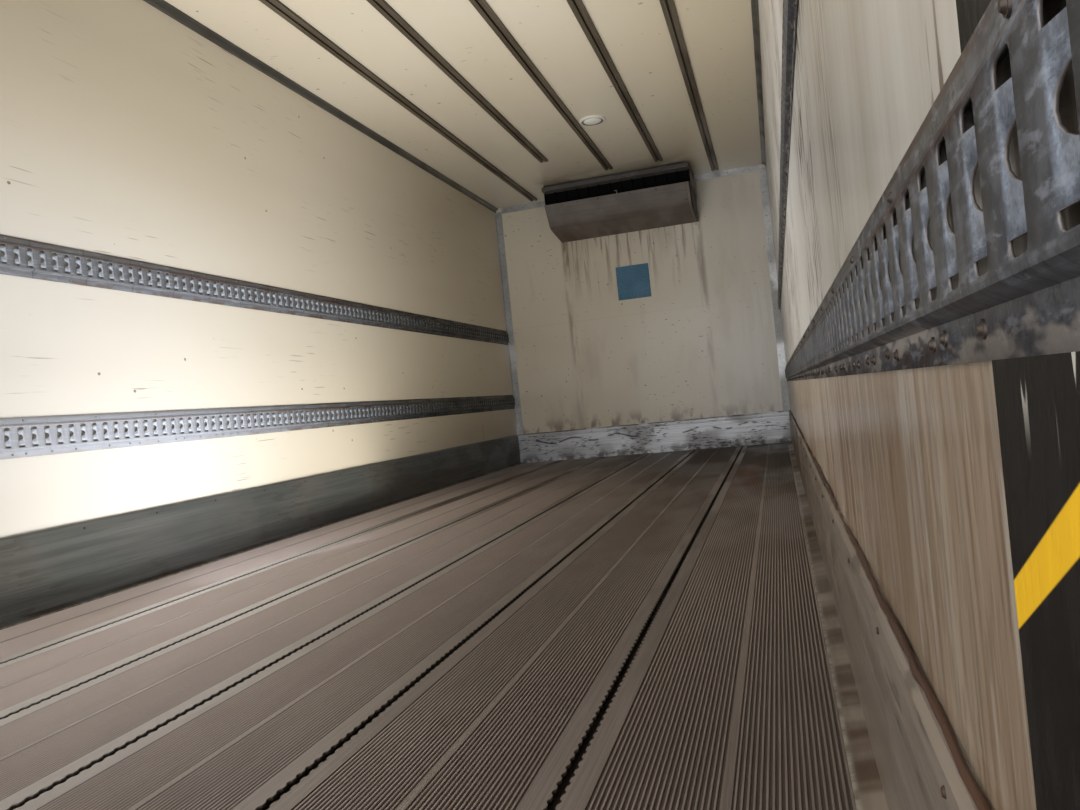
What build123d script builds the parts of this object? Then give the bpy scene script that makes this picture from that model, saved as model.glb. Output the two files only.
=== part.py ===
from build123d import *

import math
import os

# Insulated refrigerated load body of a truck, in millimetres.
# X runs to the right, Y towards the driver's cab, Z up. The body stands on its two long
# bearers, so Z = 0 is their underside. The rear doors stand open against the side walls.

# Flat sides of a thin round bar, and of the half circle at a hinge's eye
BAR_SIDES = 8
EYE_SIDES = 5

# Load space, between the faces of the lining
INNER_WIDTH = 2460
INNER_HEIGHT = 2390
INNER_LENGTH = 7400

# Sandwich panels
SIDE_WALL = 70
FRONT_WALL = 90
ROOF = 85
FLOOR_PANEL = 100

# Floor planks and the lashing tracks between them
PLANK_HEIGHT = 25
TRACK_PITCH = 405
TRACK_COUNT = 5
TRACK_WIDTH = 90
TRACK_SLOT = 18
TRACK_CAVITY = 46
TRACK_LIP = 5
GROOVE_DEPTH = 3
CENTRE_STRIP = 14

# Kick plates
KICK_HEIGHT = 268
KICK_PROUD = 15
KICK_FLANGE = 34
KICK_FLANGE_HEIGHT = 4
KICK_LIP = 6
FRONT_KICK_PROUD = 30
FRONT_KICK_RIDGE = 3
FRONT_KICK_RIDGE_HEIGHT = 14
FRONT_KICK_RIDGE_EDGE = 26

# Cargo rails on the side walls
RAIL_HEIGHT = 131
RAIL_LOWER = 514
RAIL_UPPER = 1112
RAIL_PROUD = 13
RAIL_SHEET = 3
RAIL_FLANGE = 22
RAIL_SLOPE = 6
CELL_PITCH = 50
CELL_WIDTH = 22
CELL_HEIGHT = 66
CELL_DEPTH = 5

# Trims on the front wall, and the profile along the edge of the ceiling
TRIM_WIDTH = 60
TRIM_SIDE_LEG = 22
TRIM_SHEET = 3
TOP_TRIM_HEIGHT = 50
COVING_LEG = 33
COVING_EDGE = 4
COVING_BULGE = 9

# Channels under the ceiling: how far each stays short of the front wall, from left to right
CEILING_RAIL_WIDTH = 60
CEILING_RAIL_DEPTH = 14
CEILING_RAIL_WALL = 2.5
CEILING_RAIL_SLOT = 18
CEILING_RAIL_FRONT = (120, 1217, 695, 679, 100)

# Ceiling lamp
LAMP_X = 125
LAMP_FROM_FRONT = 1900
LAMP_RADIUS = 90
LAMP_DEPTH = 22
LAMP_RIM = 12

# Evaporator: a profile seen from the side, with drops below the ceiling and depths off the front wall
EVAPORATOR_WIDTH = 1240
EVAPORATOR_DROP = 405
EVAPORATOR_KNEE_DROP = 350
EVAPORATOR_KNEE_DEPTH = 390
EVAPORATOR_KNEE_RADIUS = 45
EVAPORATOR_SLOT_DROP = 170
EVAPORATOR_SLOT_HEIGHT = 110
EVAPORATOR_SLOT_DEPTH = 520
EVAPORATOR_SLOT_IN = 70
EVAPORATOR_LIP_DEPTH = 560
EVAPORATOR_LIP_HEIGHT = 32
EVAPORATOR_NECK_DEPTH = 480
GRILLE_BARS = 14
GRILLE_BAR = 6
GRILLE_BACK = 4

# Wear linings beside the rear opening
LINING_LENGTH = 431
LINING_THICKNESS = 3

# Rear frame and its rubber buffers
REAR_FRAME = 70
POST_WIDTH = 80
HEADER_DROP = 20
SILL_LIP = 8
BUFFER_DEPTH = 140
BUFFER_WIDTH = 110
BUFFER_ROUND = 30
BUFFER_INSET = 100

# Rear doors
DOOR_LEAF = 50
DOOR_PLUG = 40
DOOR_GAP = 16
DOOR_EDGE = 10
DOOR_LAP = 45
DOOR_FACE_GAP = 14
DOOR_PLUG_GAP = 14
SEAL_THICKNESS = 8
SEAL_WIDTH = 32
HINGE_OUT = 30
HINGE_BACK = 30
HINGE_HEIGHTS = (330, 900, 1500, 2120)
KNUCKLE_RADIUS = 15
KNUCKLE_LENGTH = 60
KNUCKLE_GAP = 0.3
STRAP_THICKNESS = 8
STRAP_LENGTH = 230
LUG_LENGTH = 130
LUG_THICKNESS = 10
ROD_RADIUS = 13.5
ROD_STANDOFF = 25
ROD_FROM_HINGE_EDGE = 330
ROD_FROM_FREE_EDGE = 322
HANDLE_HEIGHTS = (1000, 1120)
ROD_OVERRUN = 30
BEARING_HEIGHTS = (260, 1150, 2050)
BEARING_WIDTH = 60
HANDLE_LENGTH = 420
HANDLE_BAR = 26
DOOR_OPEN_ANGLE = 270

# Hold-backs that keep the open doors off the side walls
HOLDER_HEIGHT = 700
HOLDER_WIDTH = 90
HOLDER_GAP = 6
HOLDER_FROM_EDGE = 200

# Outer edge profiles
EDGE_LEG = 60
EDGE_SHEET = 3
BASE_PROFILE_HEIGHT = 140
BASE_PROFILE_LIP = 24
CORNER_LEG = 75

# Refrigeration unit on the front wall
UNIT_WIDTH = 1900
UNIT_HEIGHT = 620
UNIT_DEPTH = 480
UNIT_TOP_GAP = 60
UNIT_CHAMFER = 130
UNIT_SIDE_ROUND = 60
FAN_RADIUS = 190
FAN_X = 470
FAN_WELL = 120
FAN_TIP_GAP = 14
FAN_BLADES = 5
FAN_BLADE_DEPTH = 40
FAN_BLADE_SHEET = 5
FAN_PITCH = 35
FAN_HUB_RADIUS = 50
FAN_HUB_DEPTH = 50
FAN_SHAFT_RADIUS = 12
FAN_SHAFT_GAP = 0.3
GUARD_RINGS = 3
GUARD_WIRE = 8
GUARD_SPOKES = 6
GUARD_SIDES = 12
GUARD_SEAT = 0.3

# Marker lamps
SIDE_LAMP_COUNT = 4
SIDE_LAMP_LENGTH = 100
SIDE_LAMP_HEIGHT = 40
SIDE_LAMP_DEPTH = 18

# Subframe under the floor
BEARER_SPACING = 860
BEARER_WIDTH = 60
BEARER_HEIGHT = 120
BEARER_WALL = 6
BEARER_END = 120
CROSS_HEIGHT = 80
CROSS_WIDTH = 60
CROSS_WALL = 5
CROSS_COUNT = 13
CROSS_END = 90
BRACKET_COUNT = 2
BRACKET_LENGTH = 180
BRACKET_THICKNESS = 10
BRACKET_FOOT = 75
BRACKET_LIFT = 15
BRACKET_HOLE_OUT = 45
BRACKET_HOLE_RADIUS = 9
BRACKET_HOLE_SPACING = 110

# Places worked out from the sizes
X_IN = INNER_WIDTH / 2
X_OUT = X_IN + SIDE_WALL
Y_BULKHEAD = (INNER_LENGTH + REAR_FRAME + BUFFER_DEPTH - FRONT_WALL - UNIT_DEPTH) / 2
Y_NOSE = Y_BULKHEAD + FRONT_WALL
Y_REAR = Y_BULKHEAD - INNER_LENGTH
Y_KICK = Y_BULKHEAD - FRONT_KICK_PROUD
Y_FRAME = Y_REAR - REAR_FRAME
Z_CROSS = BEARER_HEIGHT
Z_PANEL = Z_CROSS + CROSS_HEIGHT
Z_PLANK = Z_PANEL + FLOOR_PANEL
Z_LOAD = Z_PLANK + PLANK_HEIGHT
Z_CEILING = Z_LOAD + INNER_HEIGHT
Z_ROOF = Z_CEILING + ROOF
X_HINGE = X_OUT + HINGE_OUT
Y_DOOR = Y_FRAME - DOOR_FACE_GAP
Y_HINGE = Y_DOOR - DOOR_LEAF - HINGE_BACK
X_DOOR_EDGE = X_OUT - DOOR_EDGE
X_OPENING = X_OUT - POST_WIDTH
Z_OPENING_TOP = Z_CEILING - HEADER_DROP
Z_OPENING_BOTTOM = Z_LOAD + SILL_LIP
Z_DOOR_LOW = Z_OPENING_BOTTOM - DOOR_LAP
Z_DOOR_HIGH = Z_OPENING_TOP + DOOR_LAP
SHAFT_STUB = (FAN_WELL - FAN_HUB_DEPTH) / 2
Z_FAN = Z_ROOF - UNIT_TOP_GAP - UNIT_CHAMFER - FAN_RADIUS - 2 * FAN_TIP_GAP


def block(x, y, z):
    """A box between two corners, each given as a pair for one axis."""
    size = [high - low for low, high in (x, y, z)]
    middle = [(high + low) / 2 for low, high in (x, y, z)]
    return Pos(*middle) * Box(*size)


def outline(points, arcs=()):
    """A closed outline; arcs maps a segment's number to how far its middle bulges to the left."""
    edges = []
    for number, start in enumerate(points):
        end = points[(number + 1) % len(points)]
        bulge = dict(arcs).get(number)
        if bulge is None:
            edges.append(Line(start, end))
        else:
            chord = math.dist(start, end)
            middle = [(a + b) / 2 for a, b in zip(start, end)]
            left = (-(end[1] - start[1]) / chord, (end[0] - start[0]) / chord)
            top = tuple(m + bulge * n for m, n in zip(middle, left))
            edges.append(ThreePointArc(start, top, end))
    return make_face(edges)


def along_y(points, y, arcs=()):
    """An outline in X and Z, drawn out along Y between the two values of y."""
    face = Plane(origin=(0, y[1], 0), x_dir=(1, 0, 0), z_dir=(0, -1, 0)) * outline(points, arcs)
    return extrude(face, amount=y[1] - y[0])


def along_x(points, x, arcs=()):
    """An outline in Y and Z, drawn out along X between the two values of x."""
    face = Plane(origin=(x[0], 0, 0), x_dir=(0, 1, 0), z_dir=(1, 0, 0)) * outline(points, arcs)
    return extrude(face, amount=x[1] - x[0])


def along_z(points, z, arcs=()):
    """An outline in X and Y, drawn out along Z between the two values of z."""
    return extrude(Pos(0, 0, z[0]) * outline(points, arcs), amount=z[1] - z[0])


def bar(radius, length):
    """A round bar along Z about the origin, drawn with flat sides."""
    return Pos(0, 0, -length / 2) * extrude(RegularPolygon(radius, BAR_SIDES), amount=length)


def half_eye(first):
    """Points of half a knuckle's outline about the hinge line, turning to the left from the angle first."""
    turns = [math.radians(first + 180 * number / EYE_SIDES) for number in range(EYE_SIDES + 1)]
    return [(X_HINGE + KNUCKLE_RADIUS * math.cos(t), Y_HINGE + KNUCKLE_RADIUS * math.sin(t)) for t in turns]


def mirrored(solid):
    """The same piece on the other side of the body's middle."""
    return mirror(solid, Plane.YZ)


def opened(door_piece):
    """A piece of the right-hand door, drawn shut, swung open about its hinge line."""
    hinge = Axis((X_HINGE, Y_HINGE, 0), (0, 0, 1))
    return door_piece.rotate(hinge, DOOR_OPEN_ANGLE)


def group(solids):
    """Like solids on one body that share a node."""
    return Compound(children=list(solids))


def floor_panel():
    return block((-X_IN, X_IN), (Y_REAR, Y_BULKHEAD), (Z_PANEL, Z_PLANK))


def track_centres():
    return [(number - (TRACK_COUNT - 1) / 2) * TRACK_PITCH for number in range(TRACK_COUNT)]


def floor_tracks():
    """Aluminium lashing tracks: a slot between two smooth strips, over a wider cavity."""
    half = TRACK_WIDTH / 2
    slot = TRACK_SLOT / 2
    cavity = TRACK_CAVITY / 2
    z_lip = Z_LOAD - TRACK_LIP
    z_floor = Z_PLANK + TRACK_LIP
    profile = [(-half, Z_PLANK), (half, Z_PLANK), (half, Z_LOAD), (slot, Z_LOAD), (slot, z_lip),
               (cavity, z_lip), (cavity, z_floor), (-cavity, z_floor), (-cavity, z_lip),
               (-slot, z_lip), (-slot, Z_LOAD), (-half, Z_LOAD)]
    return group(
        along_y([(x + centre, z) for x, z in profile], (Y_REAR, Y_KICK))
        for centre in track_centres()
    )


def floor_planks():
    """Planks between the tracks, with a smooth strip along the middle of each."""
    edges = [-X_IN]
    for centre in track_centres():
        edges += [centre - TRACK_WIDTH / 2, centre + TRACK_WIDTH / 2]
    edges.append(X_IN)
    strip = CENTRE_STRIP / 2
    z_field = Z_LOAD - GROOVE_DEPTH
    planks = []
    for left, right in zip(edges[::2], edges[1::2]):
        first, last = left <= -X_IN, right >= X_IN
        middle = right + TRACK_WIDTH / 2 - TRACK_PITCH / 2
        if last and not first:
            middle = left - TRACK_WIDTH / 2 + TRACK_PITCH / 2
        planks.append(along_y(
            [(left, Z_PLANK), (right, Z_PLANK), (right, z_field), (middle + strip, z_field),
             (middle + strip, Z_LOAD), (middle - strip, Z_LOAD), (middle - strip, z_field),
             (left, z_field)],
            (Y_REAR, Y_KICK),
        ))
    return group(planks)


def side_wall():
    return block((X_IN, X_OUT), (Y_REAR, Y_BULKHEAD), (Z_PANEL, Z_CEILING))


def front_wall():
    return block((-X_OUT, X_OUT), (Y_BULKHEAD, Y_NOSE), (Z_PANEL, Z_CEILING))


def roof_panel():
    return block((-X_OUT, X_OUT), (Y_REAR, Y_NOSE), (Z_CEILING, Z_ROOF))


def kick_plate():
    """Side kick plate: a skirting with a bevelled top lip and a flange on the planks."""
    face = X_IN - KICK_PROUD
    top = Z_LOAD + KICK_HEIGHT
    points = [(X_IN, Z_LOAD), (face - KICK_FLANGE, Z_LOAD), (face - KICK_FLANGE, Z_LOAD + KICK_FLANGE_HEIGHT),
              (face, Z_LOAD + KICK_FLANGE_HEIGHT + KICK_LIP), (face, top - KICK_LIP),
              (face + KICK_LIP, top), (X_IN, top)]
    return along_y(points, (Y_REAR, Y_KICK))


def kick_plate_front():
    """Front kick plate, with a ridge near its top and one near its bottom."""
    proud = Y_KICK + FRONT_KICK_RIDGE
    top = Z_LOAD + KICK_HEIGHT
    points = [(Y_BULKHEAD, Z_PLANK), (Y_KICK, Z_PLANK), (Y_KICK, Z_LOAD), (proud, Z_LOAD)]
    for low in (Z_LOAD + FRONT_KICK_RIDGE_EDGE, top - FRONT_KICK_RIDGE_EDGE - FRONT_KICK_RIDGE_HEIGHT):
        high = low + FRONT_KICK_RIDGE_HEIGHT
        points += [(proud, low), (Y_KICK, low + FRONT_KICK_RIDGE), (Y_KICK, high - FRONT_KICK_RIDGE), (proud, high)]
    points += [(proud, top), (Y_BULKHEAD, top)]
    return along_x(points, (-X_IN, X_IN))


def cargo_rail(low):
    """Cargo rail on the right wall: a hat section with a row of louvres pressed into its web.

    Each louvre starts level with the web at its front edge and leans in towards the rear.
    """
    low += Z_LOAD
    high = low + RAIL_HEIGHT
    sheet = X_IN - RAIL_SHEET
    web = X_IN - RAIL_PROUD
    shoulder = RAIL_FLANGE + RAIL_SLOPE
    y_end = Y_BULKHEAD - TRIM_SIDE_LEG
    points = [(X_IN, low), (sheet, low), (sheet, low + RAIL_FLANGE), (web, low + shoulder), (web, high - shoulder),
              (sheet, high - RAIL_FLANGE), (sheet, high), (X_IN, high)]
    rail = along_y(points, (Y_REAR, y_end))
    margin = (RAIL_HEIGHT - CELL_HEIGHT) / 2
    count = int((y_end - Y_REAR) // CELL_PITCH)
    first = Y_REAR + ((y_end - Y_REAR) - count * CELL_PITCH) / 2 + (CELL_PITCH - CELL_WIDTH) / 2
    louvres = []
    for number in range(count):
        y = first + number * CELL_PITCH
        louvres.append(along_z(
            [(web, y + CELL_WIDTH), (web - RAIL_SHEET, y + CELL_WIDTH), (web - RAIL_SHEET, y),
             (web + CELL_DEPTH, y)],
            (low + margin, high - margin),
        ))
    return rail - louvres


def front_trim():
    """Corner trim between the front wall and the right wall, above the kick plate."""
    face = Y_BULKHEAD - TRIM_SHEET
    side = X_IN - TRIM_SHEET
    points = [(X_IN, Y_BULKHEAD), (X_IN - TRIM_WIDTH, Y_BULKHEAD), (X_IN - TRIM_WIDTH, face), (side, face),
              (side, Y_BULKHEAD - TRIM_SIDE_LEG), (X_IN, Y_BULKHEAD - TRIM_SIDE_LEG)]
    return along_z(points, (Z_LOAD + KICK_HEIGHT, Z_CEILING - COVING_LEG))


def front_top_trim():
    """Trim under the ceiling on the front wall, on each side of the evaporator."""
    right = block(
        (EVAPORATOR_WIDTH / 2, X_IN - TRIM_WIDTH),
        (Y_BULKHEAD - TRIM_SHEET, Y_BULKHEAD),
        (Z_CEILING - TOP_TRIM_HEIGHT, Z_CEILING),
    )
    return group([right, mirrored(right)])


def ceiling_coving():
    """Hollowed profile in the corner of the right wall and the ceiling."""
    leg = COVING_LEG
    points = [(X_IN, Z_CEILING), (X_IN - leg, Z_CEILING), (X_IN - leg, Z_CEILING - COVING_EDGE),
              (X_IN - COVING_EDGE, Z_CEILING - leg), (X_IN, Z_CEILING - leg)]
    return along_y(points, (Y_REAR, Y_BULKHEAD), {2: COVING_BULGE})


def ceiling_rails():
    half = CEILING_RAIL_WIDTH / 2
    slot = CEILING_RAIL_SLOT / 2
    inner = half - CEILING_RAIL_WALL
    z_low = Z_CEILING - CEILING_RAIL_DEPTH
    z_lip = z_low + CEILING_RAIL_WALL
    profile = [(-half, Z_CEILING), (-half, z_low), (-slot, z_low), (-slot, z_lip), (-inner, z_lip),
               (-inner, Z_CEILING - CEILING_RAIL_WALL), (inner, Z_CEILING - CEILING_RAIL_WALL),
               (inner, z_lip), (slot, z_lip), (slot, z_low), (half, z_low), (half, Z_CEILING)]
    return group(
        along_y([(x + centre, z) for x, z in profile], (Y_REAR, Y_BULKHEAD - short))
        for centre, short in zip(track_centres(), CEILING_RAIL_FRONT)
    )


def ceiling_lamp():
    """Round lamp: a rim that slopes to a flat lens."""
    lens = LAMP_RADIUS - LAMP_DEPTH
    profile = outline([(0, 0), (LAMP_RADIUS, 0), (LAMP_RADIUS, -LAMP_RIM), (lens, -LAMP_DEPTH), (0, -LAMP_DEPTH)])
    lamp = revolve(Plane.XZ * profile, Axis.Z)
    return Pos(LAMP_X, Y_BULKHEAD - LAMP_FROM_FRONT, Z_CEILING) * lamp


def evaporator_housing():
    """Sheet-metal housing with a leaning front, a rounded knee and a recessed outlet slot."""
    wall, ceiling = Y_BULKHEAD, Z_CEILING
    foot = (wall, ceiling - EVAPORATOR_DROP)
    knee = (wall - EVAPORATOR_KNEE_DEPTH, ceiling - EVAPORATOR_KNEE_DROP)
    y_slot, y_back, z_low, z_high = outlet_slot()
    y_lip, z_lip = wall - EVAPORATOR_LIP_DEPTH, z_high + EVAPORATOR_LIP_HEIGHT
    y_neck = wall - EVAPORATOR_NECK_DEPTH

    def from_knee(end):
        share = EVAPORATOR_KNEE_RADIUS / math.dist(knee, end)
        return tuple(a + share * (b - a) for a, b in zip(knee, end))

    points = [foot, from_knee(foot), from_knee((y_slot, z_low)), (y_slot, z_low), (y_back, z_low),
              (y_back, z_high), (y_lip, z_high), (y_lip, z_lip), (y_neck, z_lip), (y_neck, ceiling),
              (wall, ceiling)]
    return along_x(points, (-EVAPORATOR_WIDTH / 2, EVAPORATOR_WIDTH / 2), {1: EVAPORATOR_KNEE_RADIUS / 6})


def outlet_slot():
    """The evaporator's outlet slot: its front and back in Y, its bottom and top in Z."""
    y_front = Y_BULKHEAD - EVAPORATOR_SLOT_DEPTH
    z_low = Z_CEILING - EVAPORATOR_SLOT_DROP
    return y_front, y_front + EVAPORATOR_SLOT_IN, z_low, z_low + EVAPORATOR_SLOT_HEIGHT


def evaporator_grille():
    """Upright bars on a strip along the back of the outlet slot."""
    y_front, y_back, z_low, z_high = outlet_slot()
    half = EVAPORATOR_WIDTH / 2
    grille = block((-half, half), (y_back - GRILLE_BACK, y_back), (z_low, z_high))
    step = (EVAPORATOR_WIDTH - GRILLE_BAR) / (GRILLE_BARS - 1)
    for number in range(GRILLE_BARS):
        x = number * step - half
        grille += block((x, x + GRILLE_BAR), ((y_front + y_back) / 2, y_back - GRILLE_BACK), (z_low, z_high))
    return grille


def wear_lining():
    """Thin black sheets on the right wall between the kick plate, the rails and the ceiling."""
    gaps = [Z_LOAD + KICK_HEIGHT]
    for low in (RAIL_LOWER, RAIL_UPPER):
        gaps += [Z_LOAD + low, Z_LOAD + low + RAIL_HEIGHT]
    gaps.append(Z_CEILING - COVING_LEG)
    return group(
        block((X_IN - LINING_THICKNESS, X_IN), (Y_REAR, Y_REAR + LINING_LENGTH), (low, high))
        for low, high in zip(gaps[::2], gaps[1::2])
    )


def rear_post():
    return block((X_OPENING, X_OUT), (Y_FRAME, Y_REAR), (Z_PANEL, Z_CEILING))


def rear_header():
    """Header of the rear frame, stepped down between the posts."""
    points = [(-X_OUT, Z_CEILING), (-X_OPENING, Z_CEILING), (-X_OPENING, Z_OPENING_TOP),
              (X_OPENING, Z_OPENING_TOP), (X_OPENING, Z_CEILING), (X_OUT, Z_CEILING), (X_OUT, Z_ROOF),
              (-X_OUT, Z_ROOF)]
    return along_y(points, (Y_FRAME, Y_REAR))


def rear_sill():
    """Sill of the rear frame, with a ramped lip up from the planks."""
    points = [(Y_FRAME, Z_PANEL), (Y_REAR, Z_PANEL), (Y_REAR, Z_LOAD), (Y_REAR - SILL_LIP * 2, Z_OPENING_BOTTOM),
              (Y_FRAME, Z_OPENING_BOTTOM)]
    return along_x(points, (-X_OPENING, X_OPENING))


def buffers():
    """Rubber buffers under the door line, rounded at the back."""
    outer = X_OUT - BUFFER_INSET
    right = block(
        (outer - BUFFER_WIDTH, outer), (Y_FRAME - BUFFER_DEPTH, Y_FRAME), (Z_PANEL, Z_DOOR_LOW - DOOR_EDGE)
    )
    upright = right.edges().filter_by(Axis.Z).group_by(Axis.Y)[0]
    right = fillet(upright, BUFFER_ROUND)
    return both(right)


def door_panel():
    """Right-hand door, shut: a leaf that laps the frame and a plug that fills the opening."""
    leaf = block(
        (DOOR_GAP / 2, X_DOOR_EDGE), (Y_DOOR - DOOR_LEAF, Y_DOOR), (Z_DOOR_LOW, Z_DOOR_HIGH)
    )
    plug = block(
        (DOOR_GAP / 2 + SEAL_WIDTH, X_OPENING - DOOR_PLUG_GAP),
        (Y_DOOR, Y_DOOR + DOOR_PLUG),
        (Z_OPENING_BOTTOM + DOOR_PLUG_GAP, Z_OPENING_TOP - DOOR_PLUG_GAP),
    )
    bevelled = chamfer(plug.edges().group_by(Axis.Y)[-1], DOOR_PLUG / 4)
    return leaf + bevelled


def door_seal():
    """Rubber seal around the plug, on the face that meets the frame."""
    plug_x = (DOOR_GAP / 2 + SEAL_WIDTH, X_OPENING - DOOR_PLUG_GAP)
    plug_z = (Z_OPENING_BOTTOM + DOOR_PLUG_GAP, Z_OPENING_TOP - DOOR_PLUG_GAP)
    y = (Y_DOOR, Y_DOOR + SEAL_THICKNESS)
    ring = block((plug_x[0] - SEAL_WIDTH, plug_x[1] + SEAL_WIDTH), y, (plug_z[0] - SEAL_WIDTH, plug_z[1] + SEAL_WIDTH))
    return ring - block(plug_x, y, plug_z)


def hinge_straps():
    """Straps on the door's outer face, each bent round to a knuckle on the hinge line."""
    y_face = Y_DOOR - DOOR_LEAF
    half = KNUCKLE_LENGTH / 2
    straps = []
    for height in HINGE_HEIGHTS:
        z = Z_LOAD + height
        straps.append(along_z(
            [*half_eye(180), (X_HINGE + KNUCKLE_RADIUS, y_face - STRAP_THICKNESS), (X_HINGE, y_face),
             (X_HINGE - STRAP_LENGTH, y_face), (X_HINGE - STRAP_LENGTH, y_face - STRAP_THICKNESS),
             (X_HINGE - KNUCKLE_RADIUS, y_face - STRAP_THICKNESS)],
            (z - half, z + half),
        ))
    return group(straps)


def hinge_lugs():
    """Lugs on the outer face of the rear post, above and below each strap's knuckle."""
    y_plate = Y_HINGE + HINGE_BACK + KNUCKLE_RADIUS
    y_low, y_high = Y_HINGE - KNUCKLE_RADIUS, Y_HINGE + KNUCKLE_RADIUS
    x_face = X_OUT + LUG_THICKNESS
    arm = [(X_OUT, y_plate), (X_OUT, y_low), *half_eye(270), (x_face, y_high), (x_face, y_plate)]
    inner = KNUCKLE_LENGTH / 2 + KNUCKLE_GAP
    outer = inner + KNUCKLE_LENGTH / 2
    lugs = []
    for height in HINGE_HEIGHTS:
        z = Z_LOAD + height
        lug = block((X_OUT, x_face), (y_plate, y_plate + LUG_LENGTH), (z - outer, z + outer))
        for z_arm in ((z - outer, z - inner), (z + inner, z + outer)):
            lug += along_z(arm, z_arm)
        lugs.append(lug)
    return group(lugs)


def lock_gear():
    """Lock rods on the door's outer face, with their bearings, handles and end cams."""
    y_face = Y_DOOR - DOOR_LEAF
    y_rod = y_face - ROD_STANDOFF
    gear = []
    hinge_rod = (X_DOOR_EDGE - ROD_FROM_HINGE_EDGE, HANDLE_HEIGHTS[0], -1)
    free_rod = (DOOR_GAP / 2 + ROD_FROM_FREE_EDGE, HANDLE_HEIGHTS[1], 1)
    for x, handle_height, handle_way in (hinge_rod, free_rod):
        low, high = Z_DOOR_LOW + ROD_OVERRUN, Z_DOOR_HIGH - ROD_OVERRUN
        rod = Pos(x, y_rod, (low + high) / 2) * bar(ROD_RADIUS, high - low)
        half = BEARING_WIDTH / 2
        for height in BEARING_HEIGHTS:
            z = Z_LOAD + height
            shell = along_z(
                [(x - half, y_face), (x - ROD_RADIUS - STRAP_THICKNESS / 2, y_rod - ROD_RADIUS / 2),
                 (x + ROD_RADIUS + STRAP_THICKNESS / 2, y_rod - ROD_RADIUS / 2), (x + half, y_face)],
                (z - half, z + half),
            )
            rod += shell
        z = Z_LOAD + handle_height
        rod += block(
            sorted((x, x + handle_way * HANDLE_LENGTH)), (y_rod - HANDLE_BAR / 4, y_rod + HANDLE_BAR / 4),
            (z - HANDLE_BAR / 2, z + HANDLE_BAR / 2),
        )
        gear.append(rod)
    return group(gear)


def door_holder():
    """Rubber-faced stop on the right wall that holds the open door off the side."""
    y = Y_HINGE + X_HINGE - DOOR_GAP / 2 - HOLDER_FROM_EDGE
    z = Z_LOAD + HOLDER_HEIGHT
    half = HOLDER_WIDTH / 2
    x_door = X_HINGE + HINGE_BACK - HOLDER_GAP
    base = block((X_OUT, X_OUT + LUG_THICKNESS), (y - half, y + half), (z - half, z + half))
    stop = Pos((X_OUT + x_door) / 2, y, z) * Rot(0, 90, 0) * bar(half / 2, x_door - X_OUT)
    return base + stop


def roof_edge():
    """Aluminium angle over the outer corner of the right wall and the roof."""
    points = [(X_OUT, Z_ROOF), (X_OUT - EDGE_LEG, Z_ROOF), (X_OUT - EDGE_LEG, Z_ROOF + EDGE_SHEET),
              (X_OUT + EDGE_SHEET, Z_ROOF + EDGE_SHEET), (X_OUT + EDGE_SHEET, Z_ROOF - EDGE_LEG),
              (X_OUT, Z_ROOF - EDGE_LEG)]
    return along_y(points, (Y_FRAME, Y_NOSE))


def base_profile():
    """Aluminium channel along the foot of the right wall, with a ridge at its top."""
    low = Z_PANEL - EDGE_SHEET
    high = Z_PANEL + BASE_PROFILE_HEIGHT
    out = X_OUT + EDGE_SHEET
    points = [(X_OUT, Z_PANEL), (X_OUT - EDGE_LEG, Z_PANEL), (X_OUT - EDGE_LEG, low), (out + EDGE_SHEET, low),
              (out + EDGE_SHEET, low + BASE_PROFILE_LIP), (out, low + BASE_PROFILE_LIP + EDGE_SHEET),
              (out, high - BASE_PROFILE_LIP), (out + EDGE_SHEET, high - BASE_PROFILE_LIP + EDGE_SHEET),
              (out + EDGE_SHEET, high), (X_OUT, high)]
    return along_y(points, (Y_FRAME, Y_NOSE))


def nose_corner():
    """Rounded corner profile at the front of the right wall."""
    out = X_OUT + EDGE_SHEET
    nose = Y_NOSE + EDGE_SHEET
    leg = CORNER_LEG
    points = [(X_OUT, Y_NOSE), (X_OUT, Y_NOSE - leg), (out, Y_NOSE - leg), (out, nose), (X_OUT - leg, nose),
              (X_OUT - leg, Y_NOSE)]
    return along_z(points, (Z_PANEL + BASE_PROFILE_HEIGHT, Z_ROOF - EDGE_LEG))


def unit_housing():
    """Condenser housing on the front wall, with two round fan wells in its front."""
    half = UNIT_WIDTH / 2
    high = Z_ROOF - UNIT_TOP_GAP
    low = high - UNIT_HEIGHT
    front = Y_NOSE + UNIT_DEPTH
    points = [(Y_NOSE, low), (front - UNIT_CHAMFER / 2, low), (front, low + UNIT_CHAMFER / 2),
              (front, high - UNIT_CHAMFER), (front - UNIT_CHAMFER, high), (Y_NOSE, high)]
    housing = along_x(points, (-half, half))
    ends = housing.edges().filter_by(Axis.Z).group_by(Axis.Y)[-1]
    housing = fillet(ends, UNIT_SIDE_ROUND)
    for x in (-FAN_X, FAN_X):
        well = Pos(x, front - FAN_WELL / 2, Z_FAN) * Rot(90, 0, 0) * Cylinder(FAN_RADIUS + FAN_TIP_GAP, FAN_WELL)
        housing -= well
        shaft_end = front - FAN_WELL + SHAFT_STUB
        shaft = Pos(x, shaft_end - SHAFT_STUB / 2, Z_FAN) * Rot(90, 0, 0) * bar(FAN_SHAFT_RADIUS, SHAFT_STUB)
        housing += shaft
    return housing


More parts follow.
